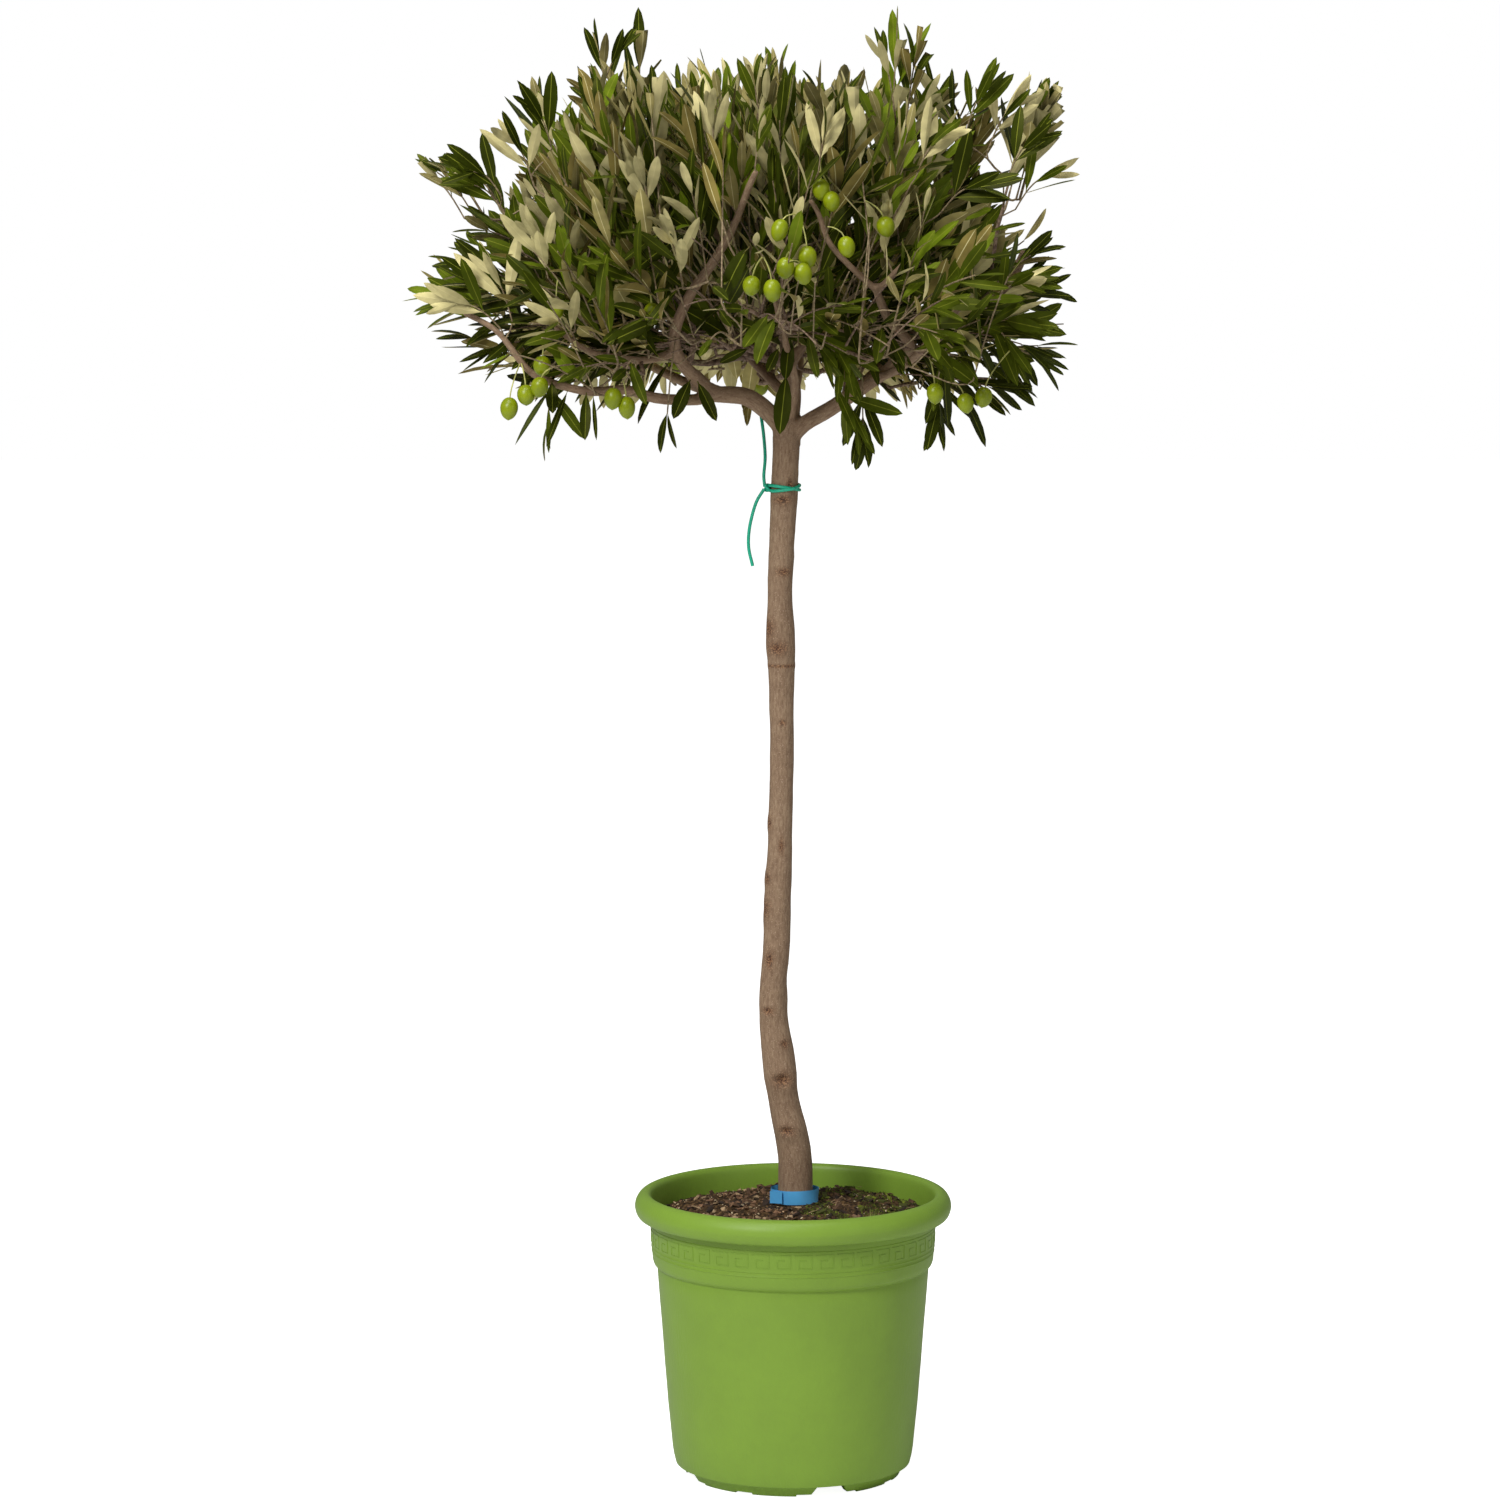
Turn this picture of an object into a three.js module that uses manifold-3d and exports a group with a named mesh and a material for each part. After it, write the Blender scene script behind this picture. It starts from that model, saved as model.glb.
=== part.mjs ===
// A standard olive tree in a nursery pot: one clean stem, a fork at head height, and a wide, clipped crown.
// Millimetres, +Z up. The origin is the middle of the pot's flat underside, and -Y is the front.
import * as THREE from "three";
import { mergeVertices } from "three/addons/utils/BufferGeometryUtils.js";
import Module from "manifold-3d";

const wasm = await Module();
wasm.setup();

// ---- Driving dimensions --------------------------------------------------------------------------------

const GAP = 0.3; // clearance between two pieces that touch

const POT = {
  height: 260,
  rim: 144, // outer radius of the rolled rim
  band: 129, // radius of the collar under the rim
  footRadius: 97.5,
  footHeight: 9,
  floor: 12, // top of the pot's floor
  boss: 28, // radius of the flat middle of the underside, level with the foot
  sides: 36,
  notches: 4, // drainage gaps in the foot
  notchWidth: 36, // at the bottom of a gap
  notchSlant: 5.5, // how far each of its ends leans in on the way up
  notchTurn: 19.3, // degrees from the front to the first gap
};

const GROUND = 250; // top of the compost where the stem comes out
const COMPOST_EDGE = 238; // and where it meets the wall
const FORK = 960;

const CROWN = { x: -38, reach: 304, middle: 1080, lift: 112 };

const TIE = { x: -8.6, height: 901, twine: 1.3, inner: 13, tall: 8 };

const LABEL = { long: 22.5, short: 20, tall: 13, thick: 1 };

const COLOURS = {
  pot: 0x86b03c,
  compost: 0x3b2c20,
  bark: 0x7d6652,
  leaf: 0x4c5a2c,
  twine: 0x13a583,
  label: 0x3f8fc4,
};

// ---- Solids --------------------------------------------------------------------------------------------

function solid(geometry) {
  const bare = geometry.index ? geometry.toNonIndexed() : geometry.clone();
  for (const name of Object.keys(bare.attributes)) {
    if (name !== "position") bare.deleteAttribute(name);
  }
  const merged = mergeVertices(bare, 1e-3);
  return new wasm.Manifold(
    new wasm.Mesh({
      numProp: 3,
      vertProperties: merged.attributes.position.array,
      triVerts: new Uint32Array(merged.index.array),
    }),
  );
}

function geometryOf(manifold) {
  const mesh = manifold.getMesh();
  return new THREE.BufferGeometry()
    .setAttribute("position", new THREE.BufferAttribute(mesh.vertProperties, 3))
    .setIndex(new THREE.BufferAttribute(mesh.triVerts, 1));
}

function largest(manifold) {
  return manifold.decompose().reduce((a, b) => (b.volume() > a.volume() ? b : a));
}

const tree = new THREE.Group();

function add(name, geometry, colour, roughness) {
  geometry.computeVertexNormals();
  const material = new THREE.MeshStandardMaterial({ color: colour, roughness, metalness: 0 });
  const mesh = new THREE.Mesh(geometry, material);
  mesh.name = name;
  tree.add(mesh);
}

// A solid turned about Z from (radius, height) pairs.
function turned(profile, sides) {
  const points = profile.map(([r, z]) => new THREE.Vector2(r, z));
  return new THREE.LatheGeometry(points, sides).rotateX(Math.PI / 2);
}

// A limb: a capped cylinder bent along a curve, with stations of [x, y, z, radius].
function limb(stations, { sides = 6, steps = 7, grow = 0 } = {}) {
  const middles = stations.map(([x, y, z]) => new THREE.Vector3(x, y, z));
  const radii = stations.map(([, , , r], i) => new THREE.Vector3(r, i, 0));
  const path = new THREE.CatmullRomCurve3(middles, false, "centripetal");
  const thickness = new THREE.CatmullRomCurve3(radii, false, "centripetal");
  const frames = path.computeFrenetFrames(steps, false);
  const tube = new THREE.CylinderGeometry(1, 1, 1, sides, steps);
  const place = tube.attributes.position;
  for (let i = 0; i < place.count; i++) {
    const row = Math.round((place.getY(i) + 0.5) * steps);
    const along = row / steps;
    const centre = path.getPointAt(along);
    const radius = thickness.getPoint(path.getUtoTmapping(along)).x + grow;
    centre.addScaledVector(frames.binormals[row], place.getX(i) * radius);
    centre.addScaledVector(frames.normals[row], place.getZ(i) * radius);
    place.setXYZ(i, centre.x, centre.y, centre.z);
  }
  return tube;
}

// A mass of leaves: a sphere pushed out into uneven lumps, stretched to its half sizes and turned outward.
function lump({ centre, half, turn = 0, seed, detail = 2 }, grow = 0) {
  const ball = new THREE.IcosahedronGeometry(1, detail);
  const place = ball.attributes.position;
  const point = new THREE.Vector3();
  for (let i = 0; i < place.count; i++) {
    point.fromBufferAttribute(place, i);
    const uneven =
      1 +
      0.075 * Math.sin(4.1 * point.x + 2.3 * point.z + 1.7 * seed) +
      0.06 * Math.sin(5.3 * point.y - 3.1 * point.x + 2.9 * seed) +
      0.05 * Math.sin(6.7 * point.z + 4.3 * point.y + 4.1 * seed);
    point.multiplyScalar(uneven);
    place.setXYZ(i, point.x * (half[0] + grow), point.y * (half[1] + grow), point.z * (half[2] + grow));
  }
  return ball.rotateZ(turn).translate(...centre);
}

// ---- Pot -----------------------------------------------------------------------------------------------

// Half section of the pot: up the outside, over the rolled rim and down the inside.
const OUTSIDE = [
  [POT.footRadius, 0],
  [POT.footRadius + 4.5, POT.footHeight],
  [107, 10],
  [109.8, 24],
  [116.4, 94],
  [123.4, 190],
  [126.8, 197],
  [POT.band, 214],
  [POT.band + 1.4, 236],
];
const RIM = [
  [139.5, 237.5],
  [143, 241.5],
  [POT.rim, 247.5],
  [140.5, 257],
  [133, POT.height],
  [128.4, 256],
];
const INSIDE = [
  [127.6, 228],
  [123.9, 199],
  [120.6, 191],
  [113.5, 94],
  [106, 21],
  [101, POT.floor],
];

function pot() {
  const recess = POT.footHeight;
  const footInside = POT.footRadius - 9.5;
  const middle = [[0, 0], [POT.boss, 0], [POT.boss + 3, recess]];
  const ring = [[footInside, recess], [footInside + 2, 0]];
  const profile = [...middle, ...ring, ...OUTSIDE, ...RIM, ...INSIDE, [0, POT.floor]];
  let made = solid(turned(profile, POT.sides));
  for (let i = 0; i < POT.notches; i++) {
    const half = POT.notchWidth / 2;
    const slant = POT.notchSlant;
    const gap = new THREE.Shape().moveTo(-half, -1).lineTo(half, -1);
    gap.lineTo(half - slant, recess - 0.5).lineTo(slant - half, recess - 0.5);
    const cutter = new THREE.ExtrudeGeometry(gap, { depth: 30, bevelEnabled: false });
    cutter.rotateX(Math.PI / 2).translate(0, 6 - footInside, 0);
    cutter.rotateZ(THREE.MathUtils.degToRad(POT.notchTurn + (360 / POT.notches) * i));
    made = made.subtract(solid(cutter));
  }
  return geometryOf(made);
}

// Compost fills the pot and is heaped a little round the stem.
function compost() {
  const bottom = POT.floor + GAP;
  const wall = INSIDE.map(([r, z]) => [r - 2 * GAP, Math.max(z, bottom)]).reverse();
  const heap = [[126.8, COMPOST_EDGE], [80, COMPOST_EDGE + 6], [30, GROUND - GAP], [0, GROUND - GAP]];
  return turned([[0, bottom], ...wall, ...heap], POT.sides);
}

// ---- Stem and boughs -----------------------------------------------------------------------------------

// [x, y, z, radius], from below the flat cut at ground level to the fork. It bows to the left above the pot.
const STEM = [
  [2.5, 0, GROUND - 8, 18.5],
  [2, 0, GROUND + 10, 16.2],
  [0.8, 0, 298, 15.6],
  [-9, -1, 345, 14.2],
  [-13, -2, 381, 15],
  [-18.8, -2, 436, 12.8],
  [-14.5, -1, 500, 12.2],
  [-11, 1, 628, 11],
  [-10.5, 1, 700, 11.2],
  [-11.3, 1, 764, 12.6],
  [-12, 0, 818, 11.3],
  [-9.1, 0, 885, 12],
  [-6, 0, FORK, 13.6],
];

// Each bough springs from the stem or from a bough above it in this list, and tapers from butt to tip.
const BOUGHS = [
  {
    name: "bough_left",
    butt: 9.5,
    tip: 7,
    route: [[-6, 0, 950], [-20, -4, 966], [-42, -14, 983], [-72, -22, 987], [-90, -28, 1003]],
  },
  {
    name: "bough_left_front",
    butt: 6.6,
    tip: 4,
    route: [[-86, -27, 999], [-103.6, -38, 1022], [-105.3, -52, 1043], [-91, -74, 1078], [-62, -100, 1121]],
  },
  {
    name: "bough_left_low",
    butt: 6,
    tip: 4,
    route: [[-66, -21, 986], [-88, -22, 981], [-122, -26, 983], [-150, -30, 991], [-216, -36, 999]],
  },
  {
    name: "bough_left_back",
    butt: 6,
    tip: 4,
    route: [[-52, -15, 985], [-76, 12, 987], [-105, 50, 996], [-138, 85, 1012], [-166, 116, 1036]],
  },
  {
    name: "bough_right",
    butt: 8.4,
    tip: 5,
    route: [[-4, 0, 946], [10, -4, 959], [34, -9, 973], [63, -13, 993], [92, -14, 1012], [135, -8, 1038]],
  },
  {
    name: "bough_right_front",
    butt: 4.6,
    tip: 3.4,
    route: [[70, -13, 998], [90, -40, 1008], [108, -84, 1028], [118, -130, 1052]],
  },
  {
    name: "bough_right_back",
    butt: 6,
    tip: 4,
    route: [[56, -12, 989], [76, 22, 1006], [104, 66, 1032], [128, 104, 1060]],
  },
  {
    name: "bough_centre",
    butt: 8,
    tip: 5,
    route: [[-5, 0, 950], [0, 5, 985], [-7, 9, 1026], [-14, 8, 1080]],
  },
  {
    name: "bough_back",
    butt: 8,
    tip: 4,
    route: [[-5, 0, 948], [-3, 24, 974], [4, 66, 1010], [4, 118, 1042], [-2, 158, 1064]],
  },
  {
    name: "bough_back_left",
    butt: 5.4,
    tip: 4,
    route: [[-1, 5, 978], [-24, 30, 1000], [-52, 62, 1030], [-78, 92, 1066]],
  },
  {
    name: "bough_front",
    butt: 6,
    tip: 3.2,
    route: [[-6, 0, 948], [-3, -18, 968], [4, -48, 992], [8, -92, 1018], [2, -140, 1046]],
  },
];

function stem(grow = 0) {
  return solid(limb(STEM, { sides: 10, steps: 28, grow }));
}

function bough({ butt, tip, route }, grow = 0) {
  const stations = route.map((point, i) => [...point, butt + ((tip - butt) * i) / (route.length - 1)]);
  return solid(limb(stations, { grow }));
}

// ---- Crown ---------------------------------------------------------------------------------------------

// Rings of masses round the crown's axis. A mass lies at `out` from the axis: half[0] deep, half[1] wide
// and half[2] tall either side of its middle.
const RINGS = [
  {
    name: "leaves_side",
    count: 8,
    start: 0,
    out: CROWN.reach - 108,
    height: CROWN.middle,
    half: [108, 92, 86],
  },
  {
    name: "leaves_shoulder",
    count: 5,
    start: 18,
    out: CROWN.reach - 168,
    height: CROWN.middle + CROWN.lift,
    half: [102, 106, 84],
  },
];

function ringMass(ring, layer, k) {
  const turn = THREE.MathUtils.degToRad(ring.start + (360 / ring.count) * k);
  const seed = 1 + k * 1.37 + layer * 5.1;
  const out = ring.out + 5 * Math.sin(seed * 2.7);
  const height = ring.height + 9 * Math.sin(seed * 4.3);
  return {
    name: `${ring.name}_${k + 1}`,
    centre: [CROWN.x + out * Math.cos(turn), out * Math.sin(turn), height],
    half: ring.half.map((h, i) => h * (1 + 0.05 * Math.sin(seed * 3.1 + 2 * i))),
    turn,
    seed,
  };
}

const ringMasses = RINGS.flatMap((ring, layer) =>
  Array.from({ length: ring.count }, (_, k) => ringMass(ring, layer, k)),
);

// The middle of the crown.
const INNER_MASSES = [
  { name: "leaves_top", centre: [-40, 5, 1205], half: [92, 86, 76], seed: 3.3 },
  { name: "leaves_heart", centre: [-34, 10, 1112], half: [112, 112, 62], seed: 8.2, detail: 1 },
];

// What stands out of it: sprigs above and beside, and tufts that hang below.
const OUTER_MASSES = [
  { name: "sprig_top_left", centre: [-155, -30, 1284], half: [24, 22, 42], seed: 2.1 },
  { name: "sprig_top_right", centre: [88, -20, 1284], half: [25, 22, 46], seed: 5.6 },
  { name: "sprig_shoulder_right", centre: [206, -12, 1214], half: [32, 28, 62], seed: 7.7 },
  { name: "sprig_shoulder_left", centre: [-290, 8, 1172], half: [46, 32, 36], seed: 1.4 },
  { name: "tuft_front_right", centre: [60, -62, 964], half: [24, 24, 42], seed: 4.4 },
  { name: "tuft_front_left", centre: [-100, -64, 986], half: [30, 26, 42], seed: 6.3 },
  { name: "tuft_right", centre: [138, -52, 982], half: [42, 30, 38], seed: 9.1 },
  { name: "tuft_left", centre: [-212, -30, 972], half: [46, 30, 36], seed: 2.8 },
  { name: "tuft_back", centre: [-20, 140, 996], half: [44, 34, 38], seed: 3.9 },
].map((mass) => ({ ...mass, detail: 1 }));

// ---- Ties ----------------------------------------------------------------------------------------------

// A few turns of twine pulled tight round the stem, as one band.
function tieLoop() {
  const outer = TIE.inner + 2 * TIE.twine + GAP;
  const half = TIE.tall / 2;
  const profile = [[0, -half], [outer, -half], [outer, half], [0, half]];
  return solid(turned(profile, 16).translate(TIE.x, 0, TIE.height)).subtract(stem(GAP));
}

// A loose loop of stiff tape that lies on the compost round the foot of the stem.
function labelBand() {
  const { long, short, tall, thick } = LABEL;
  const loop = new THREE.Shape().absellipse(0, 0, long, short, 0, 2 * Math.PI);
  loop.holes.push(new THREE.Path().absellipse(0, 0, long - thick, short - thick, 0, 2 * Math.PI, true));
  const band = new THREE.ExtrudeGeometry(loop, { depth: tall, bevelEnabled: false, curveSegments: 9 });
  return band.translate(1, 0, GROUND + GAP);
}

const TAILS = {
  tie_tail_up: [[-26.4, 0, 903.6], [-25.6, 3, 925], [-27, 8, 948], [-30, 13, 972]],
  tie_tail_down: [[-28, -1, 899], [-35, -3, 885], [-40, -5, 862], [-40, -6, 846], [-36.5, -6, 830.5]],
};

// ---- Assembly ------------------------------------------------------------------------------------------

add("pot", pot(), COLOURS.pot, 0.45);
add("compost", compost(), COLOURS.compost, 0.95);
add("trunk", geometryOf(stem().trimByPlane([0, 0, 1], GROUND)), COLOURS.bark, 0.85);

// Limbs come first, each cut where it joins a limb made before it.
const limbs = [stem(GAP)];
const boughs = [];
for (const one of BOUGHS) {
  const piece = limbs.reduce((left, limbBefore) => left.subtract(limbBefore), bough(one));
  boughs.push({ name: one.name, piece: largest(piece) });
  limbs.push(bough(one, GAP));
}

// Then the masses, each cut by those before it. A bough stops at the skin of the first mass that it meets.
const masses = [...INNER_MASSES, ...ringMasses, ...OUTER_MASSES];
const skins = [stem(GAP)];
for (const mass of masses) {
  const piece = skins.reduce((left, skin) => left.subtract(skin), solid(lump(mass)));
  add(mass.name, geometryOf(largest(piece)), COLOURS.leaf, 0.7);
  skins.push(solid(lump(mass, GAP)));
}
for (const { name, piece } of boughs) {
  const open = skins.slice(1).reduce((left, skin) => left.subtract(skin), piece);
  add(name, geometryOf(largest(open)), COLOURS.bark, 0.85);
}

add("tie_loop", geometryOf(tieLoop()), COLOURS.twine, 0.5);
const knot = new THREE.IcosahedronGeometry(2, 1).translate(TIE.x - TIE.inner - 5, -1, TIE.height);
add("tie_knot", knot, COLOURS.twine, 0.5);
for (const [name, route] of Object.entries(TAILS)) {
  const stations = route.map((point) => [...point, TIE.twine]);
  add(name, limb(stations, { sides: 6 }), COLOURS.twine, 0.5);
}
add("label_band", labelBand(), COLOURS.label, 0.4);

export default tree;
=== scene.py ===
import math
import random

import bmesh
import bpy
import numpy
from mathutils import Matrix, Vector, kdtree, noise
from mathutils.bvhtree import BVHTree


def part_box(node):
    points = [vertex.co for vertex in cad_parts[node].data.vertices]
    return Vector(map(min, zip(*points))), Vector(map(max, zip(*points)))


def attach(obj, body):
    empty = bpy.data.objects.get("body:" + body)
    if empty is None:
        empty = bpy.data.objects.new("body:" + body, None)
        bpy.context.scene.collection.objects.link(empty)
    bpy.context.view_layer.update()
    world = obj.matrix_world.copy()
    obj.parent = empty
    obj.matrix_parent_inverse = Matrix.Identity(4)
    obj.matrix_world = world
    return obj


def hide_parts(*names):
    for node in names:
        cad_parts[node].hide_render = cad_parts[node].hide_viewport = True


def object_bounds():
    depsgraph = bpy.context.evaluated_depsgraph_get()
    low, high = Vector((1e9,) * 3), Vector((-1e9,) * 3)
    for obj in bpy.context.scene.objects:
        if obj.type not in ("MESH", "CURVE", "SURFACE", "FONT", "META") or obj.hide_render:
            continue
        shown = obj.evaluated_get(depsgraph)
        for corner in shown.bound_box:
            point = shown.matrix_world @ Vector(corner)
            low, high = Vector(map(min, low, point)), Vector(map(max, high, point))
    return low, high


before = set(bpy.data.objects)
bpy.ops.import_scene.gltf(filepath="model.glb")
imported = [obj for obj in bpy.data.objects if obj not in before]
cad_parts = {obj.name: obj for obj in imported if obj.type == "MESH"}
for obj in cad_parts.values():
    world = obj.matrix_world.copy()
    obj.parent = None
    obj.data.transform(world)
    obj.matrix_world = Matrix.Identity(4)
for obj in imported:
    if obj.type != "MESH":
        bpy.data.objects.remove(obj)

cad_low, cad_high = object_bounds()
MM = 0.001

# ---- Pot --------------------------------------------------------------------------------------------
# A 12 litre nursery pot, injection moulded in one piece of lime green polypropylene. It tapers to a
# foot ring with drainage gaps, has a collar with a faint raised key border, and ends in a rolled rim.

POT_GREEN = "#80a237"
POT_DULL = "#7b9b36"
POT_SIDES = 144
KEYS = 42  # units of the border round the collar
KEY_LINE = 1.1 * MM
KEY_PROUD = 0.32 * MM


def hex_colour(text, alpha=1.0):
    """An sRGB hex colour as the linear colour that a material takes."""
    parts = [int(text[i : i + 2], 16) / 255 for i in (1, 3, 5)]
    linear = [c / 12.92 if c <= 0.04045 else ((c + 0.055) / 1.055) ** 2.4 for c in parts]
    return (*linear, alpha)


def add_node(tree, kind, settings=None, links=None):
    """A node with its settings (its own fields first, then its sockets) and the links into it."""
    node = tree.nodes.new(kind)
    for name, value in (settings or {}).items():
        if name == "stops":
            ramp = node.color_ramp
            while len(ramp.elements) < len(value):
                ramp.elements.new(0.5)
            for stop, (place, colour) in zip(ramp.elements, value):
                stop.position = place
                stop.color = hex_colour(colour)
        elif isinstance(name, str) and hasattr(node, name):
            setattr(node, name, value)
        else:
            node.inputs[name].default_value = value
    for name, source in (links or {}).items():
        tree.links.new(source, node.inputs[name])
    return node


def new_material(name, finish):
    """An empty material, its node tree and its shader, with the shader's own sockets set."""
    material = bpy.data.materials.new(name)
    material.use_nodes = True
    tree = material.node_tree
    tree.nodes.clear()
    shader = add_node(tree, "ShaderNodeBsdfPrincipled", finish)
    add_node(tree, "ShaderNodeOutputMaterial", None, {"Surface": shader.outputs[0]})
    return material, tree, shader


def add_piece(name, mesh, materials, slot, *nodes, crease=math.radians(35)):
    """A finished piece: shaded smooth up to a crease, riding on the plant, in place of CAD nodes."""
    piece = bpy.data.objects.new(name, mesh)
    bpy.context.scene.collection.objects.link(piece)
    for material in materials:
        mesh.materials.append(material)
    mesh.polygons.foreach_set("use_smooth", [True] * len(mesh.polygons))
    mesh.set_sharp_from_angle(angle=crease)
    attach(piece, "root")
    if nodes:
        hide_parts(*nodes)
    return piece


def mesh_from(bm, name):
    mesh = bpy.data.meshes.new(name)
    bm.to_mesh(mesh)
    bm.free()
    return mesh


def smooth_line(points, steps):
    """A finer line through the same points, as a Catmull-Rom curve."""
    points = [Vector(p) for p in points]
    ends = [2 * points[0] - points[1], *points, 2 * points[-1] - points[-2]]
    fine = []
    for a, b, c, d in zip(ends, ends[1:], ends[2:], ends[3:]):
        for k in range(steps):
            t = k / steps
            fine.append(0.5 * (2 * b + (c - a) * t + (2 * a - 5 * b + 4 * c - d) * t * t
                               + (3 * b - a - 3 * c + d) * t**3))
    return fine + [points[-1]]


def turn_profile(profile, sides):
    """A closed solid turned about Z from (radius, height) pairs in millimetres."""
    bm = bmesh.new()
    line = [bm.verts.new((r * MM, 0, z * MM)) for r, z in profile]
    edges = [bm.edges.new(pair) for pair in zip(line, line[1:])]
    bmesh.ops.spin(bm, geom=line + edges, cent=(0, 0, 0), axis=(0, 0, 1), angle=2 * math.pi,
                   steps=sides, use_merge=True)
    bmesh.ops.remove_doubles(bm, verts=bm.verts, dist=1e-6)
    bmesh.ops.recalc_face_normals(bm, faces=bm.faces)
    return bm


under = [(0, 0), (28, 0), (28.8, 0.5), (30.6, 8.2), (31.6, 9), (86.6, 9), (87.6, 8.4), (89.2, 0.6), (90, 0)]
foot = [(97, 0), (97.8, 0.5), (101.4, 8.6), (102, 9.5), (102.6, 9.9), (106.2, 10), (106.9, 10.3), (107.2, 11)]
wall = [(108.9, 18), (109.9, 24.5), (112.1, 47), (114, 65.5), (115.4, 84), (117, 103), (118.3, 121.5),
        (119.7, 140), (121.3, 159), (122.7, 177.5), (123.5, 188.5), (122.9, 190.6)]
collar = [(123, 192), (124.4, 192.9), (126.4, 194.6), (127.2, 196.4), (127.9, 199), (128.4, 205.9), (128.9, 206.4),
          (128.9, 207), (128.6, 207.5), (128.7, 209.9), (129.2, 210.4), (129.2, 211), (128.9, 211.5), (129.2, 214),
          (129.6, 229.2), (130, 229.6), (130, 230.2), (129.7, 230.6), (130.2, 236), (130.3, 240.5), (131.2, 241.6),
          (134.6, 241.4), (135.6, 240), (135.9, 238.4)]
roll = smooth_line([(136.8, 237.4, 0), (138.7, 237.3, 0), (140.7, 238.3, 0), (142.6, 241, 0), (143.8, 245, 0),
                    (144, 248, 0), (143, 252.5, 0), (139.8, 257.4, 0), (135, 259.8, 0), (131.5, 259.3, 0),
                    (129.2, 256.6, 0), (128.3, 252, 0)], 3)
inside = [(127.9, 244), (127.6, 228), (126.4, 214), (123.9, 199), (120.6, 191), (113.5, 94), (106, 21),
          (101, 12), (0, 12)]
pot = turn_profile([*under, *foot, *wall, *collar, *[(p.x, p.y) for p in roll], *inside], POT_SIDES)

# The foot stands on eight pads. Each quarter has a deep gap for drainage with a shallow step at either side
# of it, and a narrow shallow gap between two pads. An outline is (across, up), seen from outside.
DRAIN_TURN = 19.3  # degrees to the right of the front
DEEP_GAP = [(-30, -2), (27.5, -2), (27.5, 1.8), (17, 1.8), (12.5, 9.4), (-12.5, 9.4), (-17, 1.8), (-30, 1.8)]
SHALLOW_GAP = [(-8.8, -2), (8.8, -2), (8.5, 1.8), (-8.5, 1.8)]
cutters = bmesh.new()
for quarter in range(4):
    for outline, turn in ((DEEP_GAP, 0), (SHALLOW_GAP, -46.7)):
        face = cutters.faces.new([cutters.verts.new((x, -107, z)) for x, z in outline])
        near = list(face.verts)
        made = bmesh.ops.extrude_face_region(cutters, geom=[face])["geom"]
        far = [g for g in made if isinstance(g, bmesh.types.BMVert)]
        bmesh.ops.translate(cutters, verts=far, vec=(0, 24, 0))
        about = Matrix.Rotation(math.radians(DRAIN_TURN + 90 * quarter + turn), 4, "Z")
        bmesh.ops.transform(cutters, matrix=about @ Matrix.Scale(MM, 4), verts=near + far)
bmesh.ops.recalc_face_normals(cutters, faces=cutters.faces)


def cut_away(bm, cutters, name):
    """The first shape with the second cut out of it, as a mesh."""
    parts = [bpy.data.objects.new(name, mesh_from(b, name)) for b in (bm, cutters)]
    for part in parts:
        bpy.context.scene.collection.objects.link(part)
    cut = parts[0].modifiers.new("cut", "BOOLEAN")
    cut.object, cut.operation, cut.solver = parts[1], "DIFFERENCE", "EXACT"
    evaluated = parts[0].evaluated_get(bpy.context.evaluated_depsgraph_get())
    mesh = bpy.data.meshes.new_from_object(evaluated)
    for part in parts:
        bpy.data.objects.remove(part)
    return mesh


pot_mesh = cut_away(pot, cutters, "pot_body")

# The border: square hooks in raised lines, which sit on the collar's slope.
border = bmesh.new()
border.from_mesh(pot_mesh)
KEY_TOP, KEY_TALL, KEY_RADIUS = 227.4, 12, 129.4
unit_wide = 2 * math.pi * KEY_RADIUS / KEYS
# Each line of a hook, from one corner to the next, in sevenths of the unit's width and fifths of its height.
HOOK = [((0, 0), (5.6, 0)), ((5.6, 0), (5.6, 5)), ((5.6, 5), (1.4, 5)), ((1.4, 5), (1.4, 2)), ((1.4, 2), (3.6, 2))]


def on_collar(across, down, proud):
    """A point of the border, from a place along it and below its top, in millimetres."""
    z = KEY_TOP - down
    r = 129.2 + (z - 214) * 0.0267 + proud
    angle = across / KEY_RADIUS - math.pi / 2
    return Vector((r * math.cos(angle), r * math.sin(angle), z)) * MM


line_wide = KEY_LINE / MM
for k in range(KEYS):
    for (x0, y0), (x1, y1) in HOOK:
        low = Vector((k * unit_wide + min(x0, x1) * unit_wide / 7, min(y0, y1) * KEY_TALL / 5))
        high = Vector((k * unit_wide + max(x0, x1) * unit_wide / 7 + line_wide, max(y0, y1) * KEY_TALL / 5 + line_wide))
        strip = bmesh.ops.create_cube(border, size=1)["verts"]
        for v in strip:
            v.co += Vector((0.5, 0.5, 0.5))
        for cut in ((1 / 3, 2 / 3) if high.x - low.x > 4 else ()):
            faces = {f for v in strip for f in v.link_faces}
            edges = {e for v in strip for e in v.link_edges}
            made = bmesh.ops.bisect_plane(border, geom=[*strip, *edges, *faces], plane_co=(cut, 0, 0), plane_no=(1, 0, 0))
            strip = list({g for g in made["geom"] + made["geom_cut"] if isinstance(g, bmesh.types.BMVert)})
        for v in strip:
            inset = 0 if v.co.z < 0.5 else 0.22
            across = low.x + inset + v.co.x * (high.x - low.x - 2 * inset)
            down = low.y + inset + v.co.y * (high.y - low.y - 2 * inset)
            v.co = on_collar(across, down, -0.6 if v.co.z < 0.5 else KEY_PROUD / MM)
        bmesh.ops.recalc_face_normals(border, faces=list({f for v in strip for f in v.link_faces}))

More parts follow.
